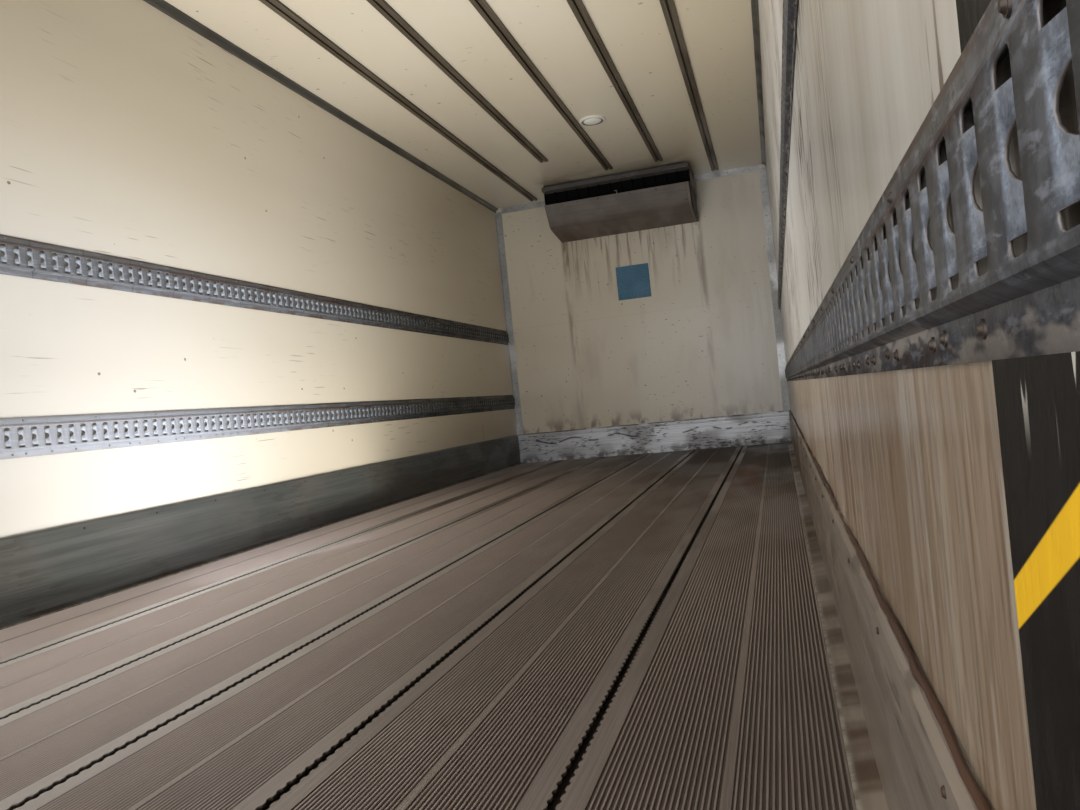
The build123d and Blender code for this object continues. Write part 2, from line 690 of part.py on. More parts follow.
def fan(x):
    """Axial fan: a hub with twisted blades, turning on the shaft's end."""
    y_back = Y_NOSE + UNIT_DEPTH - FAN_WELL + SHAFT_STUB + FAN_SHAFT_GAP
    y_middle = y_back + FAN_HUB_DEPTH / 2
    hub = Rot(90, 0, 0) * bar(FAN_HUB_RADIUS, FAN_HUB_DEPTH)
    length = FAN_RADIUS - FAN_HUB_RADIUS / 2
    blade_middle = (FAN_RADIUS + FAN_HUB_RADIUS / 2) / 2
    width = FAN_BLADE_DEPTH / math.sin(math.radians(FAN_PITCH))
    for number in range(FAN_BLADES):
        blade = Pos(0, 0, blade_middle) * Rot(0, 0, FAN_PITCH) * Box(width, FAN_BLADE_SHEET, length)
        hub += Rot(0, number * 360 / FAN_BLADES, 0) * blade
    return Pos(x, y_middle, Z_FAN) * hub


def fan_guards():
    """Wire guards over the fan wells: rings on crossing spokes."""
    guards = []
    y_out = Y_NOSE + UNIT_DEPTH - GUARD_WIRE
    for x in (-FAN_X, FAN_X):
        guard = None
        for number in range(GUARD_RINGS):
            radius = (FAN_RADIUS + FAN_TIP_GAP - GUARD_SEAT) * (number + 1) / GUARD_RINGS
            ring = RegularPolygon(radius, GUARD_SIDES) - RegularPolygon(radius - GUARD_WIRE, GUARD_SIDES)
            ring = Pos(0, 0, -GUARD_WIRE / 2) * extrude(ring, amount=GUARD_WIRE)
            guard = ring if guard is None else guard + ring
        for number in range(GUARD_SPOKES // 2):
            spoke = Box(2 * (FAN_RADIUS + FAN_TIP_GAP) - 2 * GUARD_WIRE, GUARD_WIRE, GUARD_WIRE)
            guard += Rot(0, 0, number * 360 / GUARD_SPOKES) * spoke
        guards.append(Pos(x, y_out + GUARD_WIRE / 2, Z_FAN) * Rot(90, 0, 0) * guard)
    return group(guards)


def side_lamps():
    """Side marker lamps on the foot profiles."""
    lamps = []
    step = (Y_NOSE - Y_FRAME) / SIDE_LAMP_COUNT
    z = Z_PANEL + BASE_PROFILE_HEIGHT / 2
    x = (X_OUT + EDGE_SHEET, X_OUT + EDGE_SHEET + SIDE_LAMP_DEPTH)
    for number in range(SIDE_LAMP_COUNT):
        y = Y_FRAME + step * (number + 1 / 2)
        lamp = block(
            x, (y - SIDE_LAMP_LENGTH / 2, y + SIDE_LAMP_LENGTH / 2),
            (z - SIDE_LAMP_HEIGHT / 2, z + SIDE_LAMP_HEIGHT / 2),
        )
        lamp = chamfer(lamp.faces().sort_by(Axis.X)[-1].edges(), SIDE_LAMP_DEPTH / 3)
        lamps += [lamp, mirrored(lamp)]
    return group(lamps)


def top_lamps(y_face, outwards):
    """Upper marker lamps on the header, a pair, on the face at y_face."""
    x = X_OUT - CORNER_LEG - SIDE_LAMP_LENGTH / 2
    z = Z_ROOF - EDGE_LEG / 2
    middle = y_face + outwards * SIDE_LAMP_DEPTH / 2
    lamp = Pos(x, middle, z) * Box(SIDE_LAMP_LENGTH, SIDE_LAMP_DEPTH, SIDE_LAMP_HEIGHT)
    return group([lamp, mirrored(lamp)])


def bearer():
    """Right-hand long bearer: a channel open to the outside."""
    x_out = BEARER_SPACING / 2
    x_in = x_out - BEARER_WIDTH
    wall = BEARER_WALL
    points = [(x_out, 0), (x_out, wall), (x_in + wall, wall), (x_in + wall, BEARER_HEIGHT - wall),
              (x_out, BEARER_HEIGHT - wall), (x_out, BEARER_HEIGHT), (x_in, BEARER_HEIGHT), (x_in, 0)]
    return along_y(points, (Y_REAR + BEARER_END, Y_NOSE - BEARER_END))


def cross_members():
    """Channels across the bearers, under the floor panel."""
    wall = CROSS_WALL
    width = CROSS_WIDTH
    first = Y_REAR + CROSS_END
    step = (Y_NOSE - CROSS_END - width - first) / (CROSS_COUNT - 1)
    profile = [(0, Z_CROSS), (width, Z_CROSS), (width, Z_CROSS + wall), (wall, Z_CROSS + wall),
               (wall, Z_PANEL - wall), (width, Z_PANEL - wall), (width, Z_PANEL), (0, Z_PANEL)]
    return group(
        along_x([(first + number * step + y, z) for y, z in profile], (-X_IN, X_IN))
        for number in range(CROSS_COUNT)
    )


def mounting_bracket(y):
    """Angle on the outer side of the right bearer: a plate with a foot that has two bolt holes."""
    x_face = BEARER_SPACING / 2
    x_foot = x_face + BRACKET_FOOT
    thick = BRACKET_THICKNESS
    points = [(x_face, BRACKET_LIFT), (x_foot, BRACKET_LIFT), (x_foot, BRACKET_LIFT + thick),
              (x_face + thick, BRACKET_LIFT + thick), (x_face + thick, BEARER_HEIGHT), (x_face, BEARER_HEIGHT)]
    bracket = along_y(points, (y - BRACKET_LENGTH / 2, y + BRACKET_LENGTH / 2))
    for side in (-1, 1):
        place = Pos(x_face + BRACKET_HOLE_OUT, y + side * BRACKET_HOLE_SPACING / 2, BRACKET_LIFT + thick / 2)
        bracket -= place * Cylinder(BRACKET_HOLE_RADIUS, 2 * thick)
    return bracket


def mounting_brackets():
    step = (Y_NOSE - Y_REAR - 2 * BEARER_END) / BRACKET_COUNT
    first = Y_REAR + BEARER_END + step / 2
    return both(group(mounting_bracket(first + number * step) for number in range(BRACKET_COUNT)))


def pair(name, solid):
    """A piece on the right and its mirror image on the left, as two nodes."""
    return {f"{name}_left": mirrored(solid), f"{name}_right": solid}


def both(solid):
    """A piece on the right and its mirror image on the left, as one node."""
    return group([*mirrored(solid).solids(), *solid.solids()])


NODES = {
    "floor_panel": floor_panel(),
    "floor_planks": floor_planks(),
    "floor_tracks": floor_tracks(),
    **pair("side_wall", side_wall()),
    "front_wall": front_wall(),
    "roof_panel": roof_panel(),
    **pair("kick_plate", kick_plate()),
    "kick_plate_front": kick_plate_front(),
    **pair("cargo_rail_lower", cargo_rail(RAIL_LOWER)),
    **pair("cargo_rail_upper", cargo_rail(RAIL_UPPER)),
    "front_corner_trims": both(front_trim()),
    "front_top_trim": front_top_trim(),
    "ceiling_covings": both(ceiling_coving()),
    "ceiling_rails": ceiling_rails(),
    "ceiling_lamp": ceiling_lamp(),
    "evaporator_housing": evaporator_housing(),
    "evaporator_grille": evaporator_grille(),
    "wear_linings": both(wear_lining()),
    "rear_posts": both(rear_post()),
    "rear_header": rear_header(),
    "rear_sill": rear_sill(),
    "buffers": buffers(),
    **pair("door", opened(door_panel())),
    **pair("door_seal", opened(door_seal())),
    **pair("hinge_straps", opened(hinge_straps())),
    "hinge_lugs": both(hinge_lugs()),
    **pair("lock_gear", opened(lock_gear())),
    "door_holders": both(door_holder()),
    "roof_edges": both(roof_edge()),
    "base_profiles": both(base_profile()),
    "nose_corners": both(nose_corner()),
    "unit_housing": unit_housing(),
    "fan_left": fan(-FAN_X),
    "fan_right": fan(FAN_X),
    "fan_guards": fan_guards(),
    "side_lamps": side_lamps(),
    "front_lamps": top_lamps(Y_NOSE, 1),
    "rear_lamps": top_lamps(Y_FRAME, -1),
    "bearers": both(bearer()),
    "cross_members": cross_members(),
    "mounting_brackets": mounting_brackets(),
}

os.makedirs("parts", exist_ok=True)
for name, solid in NODES.items():
    export_step(solid, f"parts/{name}.step")
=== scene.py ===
import math
import random

import bmesh
import bpy
from bmesh.types import BMEdge, BMVert
from bpy.props import FloatProperty, FloatVectorProperty, IntProperty, PointerProperty
from mathutils import Matrix, Vector


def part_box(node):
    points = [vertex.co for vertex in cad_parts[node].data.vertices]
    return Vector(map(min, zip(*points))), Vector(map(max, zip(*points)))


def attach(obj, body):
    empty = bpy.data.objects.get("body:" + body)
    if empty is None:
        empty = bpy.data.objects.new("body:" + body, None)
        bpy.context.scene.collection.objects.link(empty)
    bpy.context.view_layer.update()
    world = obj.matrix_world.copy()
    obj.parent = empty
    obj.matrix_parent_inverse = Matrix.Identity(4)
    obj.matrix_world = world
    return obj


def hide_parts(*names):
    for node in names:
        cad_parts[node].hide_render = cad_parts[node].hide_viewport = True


bl_info = {
    "name": "Refrigerated load body",
    "version": (1, 0, 0),
    "blender": (4, 5, 0),
    "location": "3D View > Sidebar > Load body",
    "description": "Dresses the packed frame of an insulated refrigerated truck body",
    "category": "Object",
}

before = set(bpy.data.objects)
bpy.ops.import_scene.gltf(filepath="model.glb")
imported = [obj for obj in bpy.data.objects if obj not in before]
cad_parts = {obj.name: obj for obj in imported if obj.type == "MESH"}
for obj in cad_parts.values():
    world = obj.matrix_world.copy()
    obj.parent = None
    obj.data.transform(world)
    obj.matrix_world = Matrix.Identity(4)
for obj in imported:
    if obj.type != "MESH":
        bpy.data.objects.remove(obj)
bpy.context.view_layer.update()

# Places of the load space, from the frame
X_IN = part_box("side_wall_right")[0].x
X_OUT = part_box("side_wall_right")[1].x
Y_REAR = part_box("floor_planks")[0].y
Y_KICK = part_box("floor_planks")[1].y
Y_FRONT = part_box("front_wall")[0].y
Z_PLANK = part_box("floor_planks")[0].z
Z_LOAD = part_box("floor_planks")[1].z
Z_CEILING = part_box("roof_panel")[0].z
Z_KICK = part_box("kick_plate_right")[1].z
CRACK_Y = Y_FRONT - 0.93
JOINT_Z = Z_LOAD + 1.25
TRACKS = 5
TRACK_WIDTH = 0.09
TRACK_PITCH = (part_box("floor_tracks")[1].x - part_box("floor_tracks")[0].x - TRACK_WIDTH) / (TRACKS - 1)
SIDES = (("left", -1), ("right", 1))

# Rivet heads: radius at the foot, height, radius at the top
TRIM_RIVET = (0.0042, 0.0018, 0.0028)
KICK_RIVET = (0.0045, 0.002, 0.003)
PROFILE_RIVET = (0.0055, 0.0018, 0.0035)

# The top trim has no rivets this far to either side of its middle
CLEAR_OF_EVAPORATOR = 0.66

# The photograph's viewpoint: place in metres, turns in radians, focal length in pixels of its 1080
CAMERA_PLACE = (1.1385, -3.8394, 0.8386)
CAMERA_PITCH = 0.0014
CAMERA_YAW = 0.2806
CAMERA_ROLL = -0.099
FOCAL_PIXELS = 823.97
PICTURE_PIXELS = 1080
SENSOR = 36.0


def screen(red, green, blue):
    """A colour written as it looks on a screen, turned into linear values."""
    return tuple(v / 12.92 if v <= 0.04045 else ((v + 0.055) / 1.055) ** 2.4 for v in (red, green, blue))


def length(name, default, description):
    return FloatProperty(name=name, description=description, default=default, unit="LENGTH", precision=4)


def colour(name, default, description):
    return FloatVectorProperty(
        name=name, description=description, default=screen(*default), subtype="COLOR", size=3, min=0, max=1
    )


class LoadBodySizes(bpy.types.PropertyGroup):
    """Sizes of the finer forms, in metres."""

    rib_pitch: length("Rib pitch", 0.00775, "Distance from one floor rib to the next")
    rib_width: length("Rib width", 0.0042, "Width of a floor rib at its foot")
    rib_height: length("Rib height", 0.003, "Height of a floor rib")
    centre_strip: length("Centre strip", 0.014, "Width of the smooth strip along a plank")
    strip_shift: length("Strip shift", 0.016, "How far the outer planks' strips lie outside the middle")
    scallop_pitch: length("Scallop pitch", 0.025, "Distance between the round holes of a track's slot")
    scallop_radius: length("Scallop radius", 0.0102, "Radius of a track's round holes")
    slot_half: length("Slot half width", 0.0063, "Half the slot's width between two holes")
    track_lip: length("Track lip", 0.005, "Thickness of a track's lips")
    cell_pitch: length("Cell pitch", 0.050, "Distance between the windows of a cargo rail")
    cell_width: length("Cell width", 0.022, "Width of a window in a cargo rail")
    cell_height: length("Cell height", 0.066, "Height of a window in a cargo rail")
    tongue_depth: length("Tongue depth", 0.0028, "How far a tongue's free edge lies behind the web")
    bite_radius: length("Bite radius", 0.0105, "Half the height of the half-moon in a tongue's free edge")
    bite_depth: length("Bite depth", 0.0162, "How far the half-moon reaches into the tongue")
    rail_sheet: length("Rail sheet", 0.0015, "Sheet thickness of a cargo rail")
    seed: IntProperty(name="Seed", description="Start of the random places of screws and beads", default=7)


class LoadBodyColours(bpy.types.PropertyGroup):
    """Main colours of the finishes."""

    lining: colour("Lining", (0.85, 0.815, 0.745), "Cream gelcoat of the walls and the ceiling")
    stain: colour("Stain", (0.42, 0.30, 0.18), "Brown water stains")
    rust: colour("Rust", (0.34, 0.17, 0.09), "Rust on steel")
    floor: colour("Floor", (0.55, 0.495, 0.465), "Worn tops of the floor ribs")
    grime: colour("Grime", (0.24, 0.20, 0.175), "Dirt in the grooves")
    track: colour("Track", (0.47, 0.43, 0.405), "Smooth strips of the floor")
    # Colour of the tongues, lighter than the bars by painted light.
    zinc: colour("Zinc", (0.70, 0.735, 0.79), "Galvanised cargo rails")
    kick: colour("Kick plate", (0.385, 0.395, 0.38), "Aluminium kick plates")
    trim: colour("Trim", (0.74, 0.74, 0.74), "Satin aluminium trims")
    skin: colour("Skin", (0.86, 0.87, 0.87), "White outer skin")
    stripe: colour("Stripe", (0.80, 0.62, 0.09), "Yellow stripe on the wear lining")
    plate: colour("Plate", (0.17, 0.42, 0.55), "Blue plate on the front wall")


def sizes():
    return bpy.context.scene.load_body_sizes


def colours():
    return bpy.context.scene.load_body_colours


# Finishes


class Finish:
    """A material's nodes, built up from patterns that are placed in object coordinates."""

    def __init__(self, name, plane=None):
        self.material = bpy.data.materials.new(name)
        self.material.use_nodes = True
        self.tree = self.material.node_tree
        self.place = self.add("TexCoord").outputs["Object"]
        self.axes = self.add("SeparateXYZ", {"Vector": self.place}).outputs
        self.normal = None
        if plane:
            self.sheet = self.add("CombineXYZ", dict(zip("XY", plane))).outputs[0]

    def fill(self, socket, value):
        """Links or sets a socket. A letter means the place on its axis, a tuple a colour as on a screen."""
        if isinstance(value, str):
            value = self.axes["XYZ".index(value)]
        if isinstance(value, bpy.types.NodeSocket):
            self.tree.links.new(value, socket)
        elif socket.type == "RGBA":
            socket.default_value = (*(screen(*value) if isinstance(value, tuple) else value), 1.0)
        else:
            socket.default_value = value

    def add(self, kind, sockets=(), **settings):
        """A node with its settings and its sockets filled."""
        made = self.tree.nodes.new("ShaderNode" + kind)
        for name, value in settings.items():
            setattr(made, name, value)
        for name, value in dict(sockets).items():
            self.fill(made.inputs[name], value)
        return made

    def sum(self, operation, first, second=0.0, clamp=False):
        return self.add("Math", {0: first, 1: second}, operation=operation, use_clamp=clamp).outputs[0]

    def noise(self, scale, low=0.4, high=0.6, detail=2.0, shift=0.0, rough=0.55):
        """A patchy mask from 0 to 1. scale is in patches a metre, along X, Y and Z or along the plane."""
        flat = len(scale) == 2
        source = self.sheet if flat else self.place
        moved = {0: source, 1: (*scale, 0) if flat else scale, 2: (shift, shift, shift)}
        vector = self.add("VectorMath", moved, operation="MULTIPLY_ADD").outputs[0]
        value = self.add(
            "TexNoise", {"Vector": vector, "Scale": 1.0, "Detail": detail, "Roughness": rough},
            noise_dimensions="2D" if flat else "3D",
        )
        return self.range(value.outputs[0], low, high)

    def cycle(self, axis, start, period):
        """How far a place is into its period along an axis, from 0 to 1."""
        return self.sum("FRACT", self.sum("DIVIDE", self.sum("SUBTRACT", axis, start), period))

    def range(self, value, low, high, out_low=0.0, out_high=1.0):
        """The value taken from one range to another, eased at both ends; low may be above high."""
        ends = {"Value": value, "From Min": low, "From Max": high, "To Min": out_low, "To Max": out_high}
        return self.add("MapRange", ends, interpolation_type="SMOOTHSTEP").outputs[0]

    def span(self, value, low, high, soft=0.002):
        """1 between two places on an axis or between two values, 0 outside them."""
        rise = self.range(value, low - soft, low + soft)
        return self.times(rise, self.range(value, high + soft, high - soft))

    def times(self, first, *masks):
        for mask in masks:
            first = self.sum("MULTIPLY", first, mask)
        return first

    def plus(self, first, *masks):
        for mask in masks:
            first = self.sum("ADD", first, mask, clamp=True)
        return first

    def coats(self, colour, *coats):
        """Coats laid over a colour in turn: each is its colour and the masks that let it show."""
        for tint, *masks in coats:
            sockets = {0: self.times(*masks), 6: colour, 7: tint}
            colour = self.add("Mix", sockets, data_type="RGBA", clamp_factor=True).outputs[2]
        return colour

    def relief(self, height, distance, strength=1.0):
        """Adds a bump to the normal."""
        sockets = {"Height": height, "Distance": distance, "Strength": strength}
        if self.normal is not None:
            sockets["Normal"] = self.normal
        self.normal = self.add("Bump", sockets).outputs[0]

    def done(self, colour, roughness, metallic=0.0, coat=(0.0, 0.03), specular=0.5):
        """Fills the shader's sockets and gives the material. coat is its weight and its roughness."""
        values = {
            "Base Color": colour, "Roughness": roughness, "Metallic": metallic, "Normal": self.normal,
            "Coat Weight": coat[0], "Coat Roughness": coat[1], "Specular IOR Level": specular,
        }
        for name, value in values.items():
            self.fill(self.tree.nodes["Principled BSDF"].inputs[name], value)
        return self.material


def outer_skin(f):
    """White gelcoat with grey streaks, for the outer faces of the panels."""
    return f.coats(colours().skin, ((0.68, 0.66, 0.61), f.noise((7, 7, 0.6), 0.48, 0.72, 3), 0.2))


def lining_left():
    """Left wall: cream with painted light and shade along its length, faint bands, fine scratches, dark
    dots and one crack.
    """
    f = Finish("lining_left", "YZ")
    near = f.range("Y", 1.0, -2.6)
    scratches = f.times(f.noise((4, 110), 0.7, 0.8, 1), f.noise((1.6, 2.2), 0.5, 0.66, 1, shift=5))
    bent = f.sum("SUBTRACT", "Y", f.times(f.noise((3, 9), 0.3, 0.7, 1), 0.02))
    crack = f.span(bent, CRACK_Y - 0.002, CRACK_Y + 0.004, 0.002)
    cream = f.coats(
        colours().lining,
        ((0.82, 0.78, 0.7), f.noise((0.45, 0.8), 0.1, 0.9, 1)),
        # Painted light: lighter low down near the rear.
        ((0.83, 0.82, 0.8), near, f.range("Z", Z_LOAD + 1.9, Z_LOAD + 1.1), 0.85),
        # Painted shade: darker high up near the rear.
        ((0.675, 0.625, 0.54), near, f.range("Z", Z_LOAD + 1.2, Z_LOAD + 2.2), 0.92),
        # Painted shade: darker towards the front.
        ((0.81, 0.755, 0.645), f.range("Y", 0.0, 3.3), 0.85),
        # Painted shade: darker low down towards the front.
        ((0.64, 0.585, 0.49), f.range("Y", 0.3, 3.0), f.range("Z", Z_LOAD + 0.9, Z_LOAD + 0.2), 0.9),
        ((0.62, 0.56, 0.47), f.noise((0.4, 3.0), 0.4, 0.95, 1, shift=9), 0.1),
        ((0.36, 0.3, 0.25), scratches, 0.6),
        ((0.33, 0.24, 0.18), f.noise((30, 30), 0.925, 0.95, 0, shift=2), 0.75),
        ((0.25, 0.2, 0.16), crack, f.span("Z", Z_KICK, Z_KICK + 0.14, 0.01), 0.85),
    )
    return skin_and_lining(f, cream, f.span("X", -X_IN - 0.02, X_IN))


def lining_right():
    """Right wall: grey-beige with dark nicks above the lower rail, streaked brown and white below it, with
    a painted reflection up high and painted shade low near the rear.
    """
    f = Finish("lining_right", "YZ")
    broad = f.noise((5, 0.7), 0.36, 0.66, 3)
    fine = f.noise((34, 1.1), 0.4, 0.66, 5, rough=0.75)
    pale = f.noise((28, 1.6), 0.48, 0.7, 5, shift=7, rough=0.7)
    nicks = f.times(f.noise((44, 8), 0.565, 0.61, 2), f.noise((1.5, 1.2), 0.44, 0.55, 1, shift=3))
    fuzz = f.times(f.noise((75, 5), 0.46, 0.62, 4), f.noise((2.0, 0.8), 0.5, 0.62, 1, shift=6))
    upper = f.coats(
        (0.68, 0.66, 0.625),
        ((0.6, 0.57, 0.525), broad, 0.6),
        ((0.5, 0.43, 0.35), fine, 0.2),
        ((0.8, 0.79, 0.77), pale, 0.2),
        # Painted reflection: the upper wall lighter away from the rear.
        ((0.89, 0.885, 0.88), f.range("Y", -3.1, -1.2), 0.8),
        ((0.38, 0.31, 0.24), fuzz, 0.7),
    )
    lower = f.coats(
        (0.77, 0.7, 0.62),
        ((0.65, 0.56, 0.47), broad),
        ((0.43, 0.31, 0.21), fine, 0.85),
        ((0.82, 0.8, 0.76), pale, 0.75),
        ((0.34, 0.25, 0.17), f.noise((120, 14), 0.5, 0.62, 3, shift=4), 0.5),
        # Painted shade: the lower wall darker towards the rear.
        ((0.42, 0.36, 0.29), f.range("Y", -2.3, -3.1), 0.62),
    )
    below = f.range("Z", Z_LOAD + 0.6, Z_LOAD + 0.5)
    wall = f.coats(upper, (lower, below), ((0.24, 0.17, 0.11), nicks, f.range(below, 0, 1, 0.92, 0.12)))
    return skin_and_lining(f, wall, f.span("X", 0, X_IN + 0.02))


def lining_front():
    """Front wall: drips under the evaporator and its ends, a dirty foot, scuffs, dots and a joint, with a
    painted reflection and a painted highlight on its right.
    """
    c = colours()
    f = Finish("lining_front", "XZ")
    low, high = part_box("evaporator_housing")
    across = f.span("X", low.x + 0.01, high.x + 0.01, 0.01)
    left_end = f.span("X", low.x - 0.005, low.x + 0.05, 0.018)
    ends = f.plus(left_end, f.span("X", high.x - 0.03, high.x + 0.02, 0.02))
    run = f.noise((13, 2.4), 0.34, 0.6, 3, shift=4)
    scuffs = f.times(f.noise((14, 60), 0.72, 0.78, 2), f.noise((1.4, 1.6), 0.52, 0.66, 1, shift=2))
    # Painted highlight: a streaky lighter patch low on the right of the wall.
    wear_and_highlight = f.times(f.range("X", 0.75, 1.15), f.range("Z", JOINT_Z + 0.45, JOINT_Z))
    cream = f.coats(
        c.lining,
        ((0.8, 0.755, 0.67), f.noise((0.6, 0.6), 0.1, 0.9, 1)),
        (c.stain, across, f.range("Z", low.z - 0.65, low.z), f.noise((24, 1.3), 0.5, 0.66, 3), 0.7),
        ((0.42, 0.3, 0.2), ends, run, f.range("Z", Z_LOAD, low.z, 0.25, 1.0), 0.8),
        ((0.38, 0.27, 0.2), f.range("Z", Z_KICK + 0.16, Z_KICK), f.noise((9, 5), 0.45, 0.66, 3), 0.75),
        ((0.27, 0.21, 0.17), scuffs, 0.8),
        ((0.3, 0.21, 0.15), f.noise((36, 36), 0.87, 0.91, 0), 0.7),
        ((0.6, 0.53, 0.44), f.noise((3, 1.0), 0.5, 0.72, 3, shift=7), 0.3),
        ((0.45, 0.38, 0.3), f.span("Z", JOINT_Z, JOINT_Z + 0.002, 0.002), 0.35),
        # Painted reflection: lighter towards the right.
        ((0.88, 0.87, 0.86), f.range("X", 0.1, 1.2), 0.4),
        # Painted highlight: whiter streaks low on the right.
        ((0.9, 0.89, 0.87), wear_and_highlight, f.noise((20, 1.5), 0.38, 0.66, 3, shift=8), 0.5),
    )
    inside = f.times(f.span("Y", Y_FRONT - 0.05, Y_FRONT + 0.02), f.span("X", -X_IN - 0.03, X_IN + 0.03))
    return skin_and_lining(f, cream, inside)


def lining_roof():
    """Ceiling: cream with a few dots and rubbed marks, painted shade towards the right and a painted shadow
    in front of the evaporator.
    """
    f = Finish("lining_roof", "XY")
    low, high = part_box("evaporator_housing")
    # Painted shadow on the ceiling just in front of the evaporator.
    dust_and_shadow = f.times(f.range("Y", low.y - 0.45, low.y + 0.05), f.span("X", low.x - 0.02, high.x + 0.04, 0.06))
    cream = f.coats(
        colours().lining,
        ((0.81, 0.765, 0.68), f.noise((0.8, 0.5), 0.1, 0.9, 1)),
        # Painted shade: darker towards the right.
        ((0.78, 0.72, 0.6), f.range("X", 0.1, 1.0), 0.55),
        ((0.4, 0.28, 0.18), f.noise((24, 24), 0.89, 0.925, 0), 0.6),
        ((0.45, 0.38, 0.3), f.noise((12, 50), 0.74, 0.8, 1), f.noise((1.2, 1.2), 0.58, 0.68, 1), 0.4),
        # Painted shadow in front of the evaporator, patchy.
        ((0.52, 0.45, 0.34), dust_and_shadow, f.noise((3, 4), 0.2, 0.7, 2), 0.6),
    )
    under = f.times(f.span("X", -X_IN - 0.03, X_IN + 0.03), f.span("Y", Y_REAR - 0.2, Y_FRONT + 0.03))
    return skin_and_lining(f, cream, f.times(f.span("Z", Z_CEILING - 0.05, Z_CEILING + 0.02), under))


def skin_and_lining(f, cream, inside):
    """A panel's finish: glossy cream lining on its inner side, white skin everywhere else."""
    wave = f.noise((1.7, 1.7), 0.05, 0.95, 1, shift=3)
    f.relief(wave, 0.003, 0.3)
    colour = f.coats(outer_skin(f), (cream, inside))
    return f.done(colour, f.range(wave, 0, 1, 0.285, 0.34), coat=(0.25, 0.12))


def floor_ribbed():
    """Ribbed planks: worn tops, dirt in the grooves, dull strips, a rusty patch on the right, a painted
    sheen on the tops to the left and painted shade towards the front.
    """
    c = colours()
    s = sizes()
    f = Finish("floor_ribbed", "XY")
    top = f.range("Z", Z_LOAD - s.rib_height * 0.95, Z_LOAD - 0.0006)
    grain = f.noise((300, 6), 0.35, 0.65, 2)
    patch = f.noise((2.2, 0.7), 0.35, 0.68, 3)
    area = f.times(f.span("X", 0.87, 1.02, 0.03), f.span("Y", 0.1, 2.7, 0.7))
    rusty = f.times(area, f.noise((9, 1.4), 0.42, 0.62, 3))
    wear_and_highlight = f.coats(
        c.floor,
        ((0.44, 0.4, 0.375), grain, 0.45),
        ((0.4, 0.36, 0.335), patch, 0.5),
        ((0.6, 0.32, 0.19), rusty, 0.8),
    )
    across = f.sum("SUBTRACT", f.cycle("X", 0.0, TRACK_PITCH), 0.5)
    outer = f.range(f.sum("ABSOLUTE", "X"), 2 * TRACK_PITCH, 2 * TRACK_PITCH + 0.01)
    shift = f.times(f.sum("SIGN", "X"), outer, s.strip_shift / TRACK_PITCH)
    beside = f.sum("ABSOLUTE", f.sum("SUBTRACT", across, shift))
    strip = s.centre_strip / TRACK_PITCH
    colour = f.coats(
        c.grime,
        ((0.3, 0.16, 0.09), rusty, 0.4),
        (wear_and_highlight, top),
        # Painted sheen: lighter rib tops towards the left, except at the rear end.
        ((0.94, 0.88, 0.85), f.range("X", 1.2, -1.3), f.range("Y", -3.7, -2.3), top, 0.9),
        ((0.8, 0.73, 0.68), f.range("X", 0.6, 0.85), f.span("Y", -2.1, 0.3, 0.7), top, 0.4),
        ((0.34, 0.305, 0.28), f.range(beside, 0.6 * strip, 0.5 * strip), 0.42),
        # Painted shade: darker towards the front.
        ((0.26, 0.2, 0.165), f.range("Y", 0.4, 2.3), 0.62),
    )
    f.relief(grain, 0.0006, 0.5)
    return f.done(colour, f.range(patch, 0, 1, 0.36, 0.58), f.range(top, 0, 1, 0.0, 0.45))


def track_finish(name, base, dirt, face, pale=0.0):
    """Extruded track, brushed along its length; pale is the strength of a painted sheen. face is the
    heights between which dark, painted shade with dirt in the floor's slots, turns into bare.
    """
    f = Finish(name, "XY")
    brushed = f.noise((260, 3), 0.35, 0.65, 2)
    patch = f.noise((5, 1.0), 0.35, 0.68, 3)
    bare = f.range("Z", *face)
    metal = f.coats(
        base,
        (dirt, brushed, 0.4),
        (dirt, patch, 0.45),
        # Painted sheen: lighter on the left towards the rear.
        ((0.92, 0.89, 0.86), f.range("X", 0.6, -0.9), f.range("Y", 1.0, -1.6), pale),
    )
    # Painted shade, with dirt in the floor's slots: dark past the face, inside the slot and channel.
    colour = f.coats((0.2, 0.165, 0.14), (metal, bare))
    f.relief(brushed, 0.0004, 0.4)
    return f.done(colour, f.range(patch, 0, 1, 0.4, 0.6), f.range(bare, 0, 1, 0.0, 0.3))


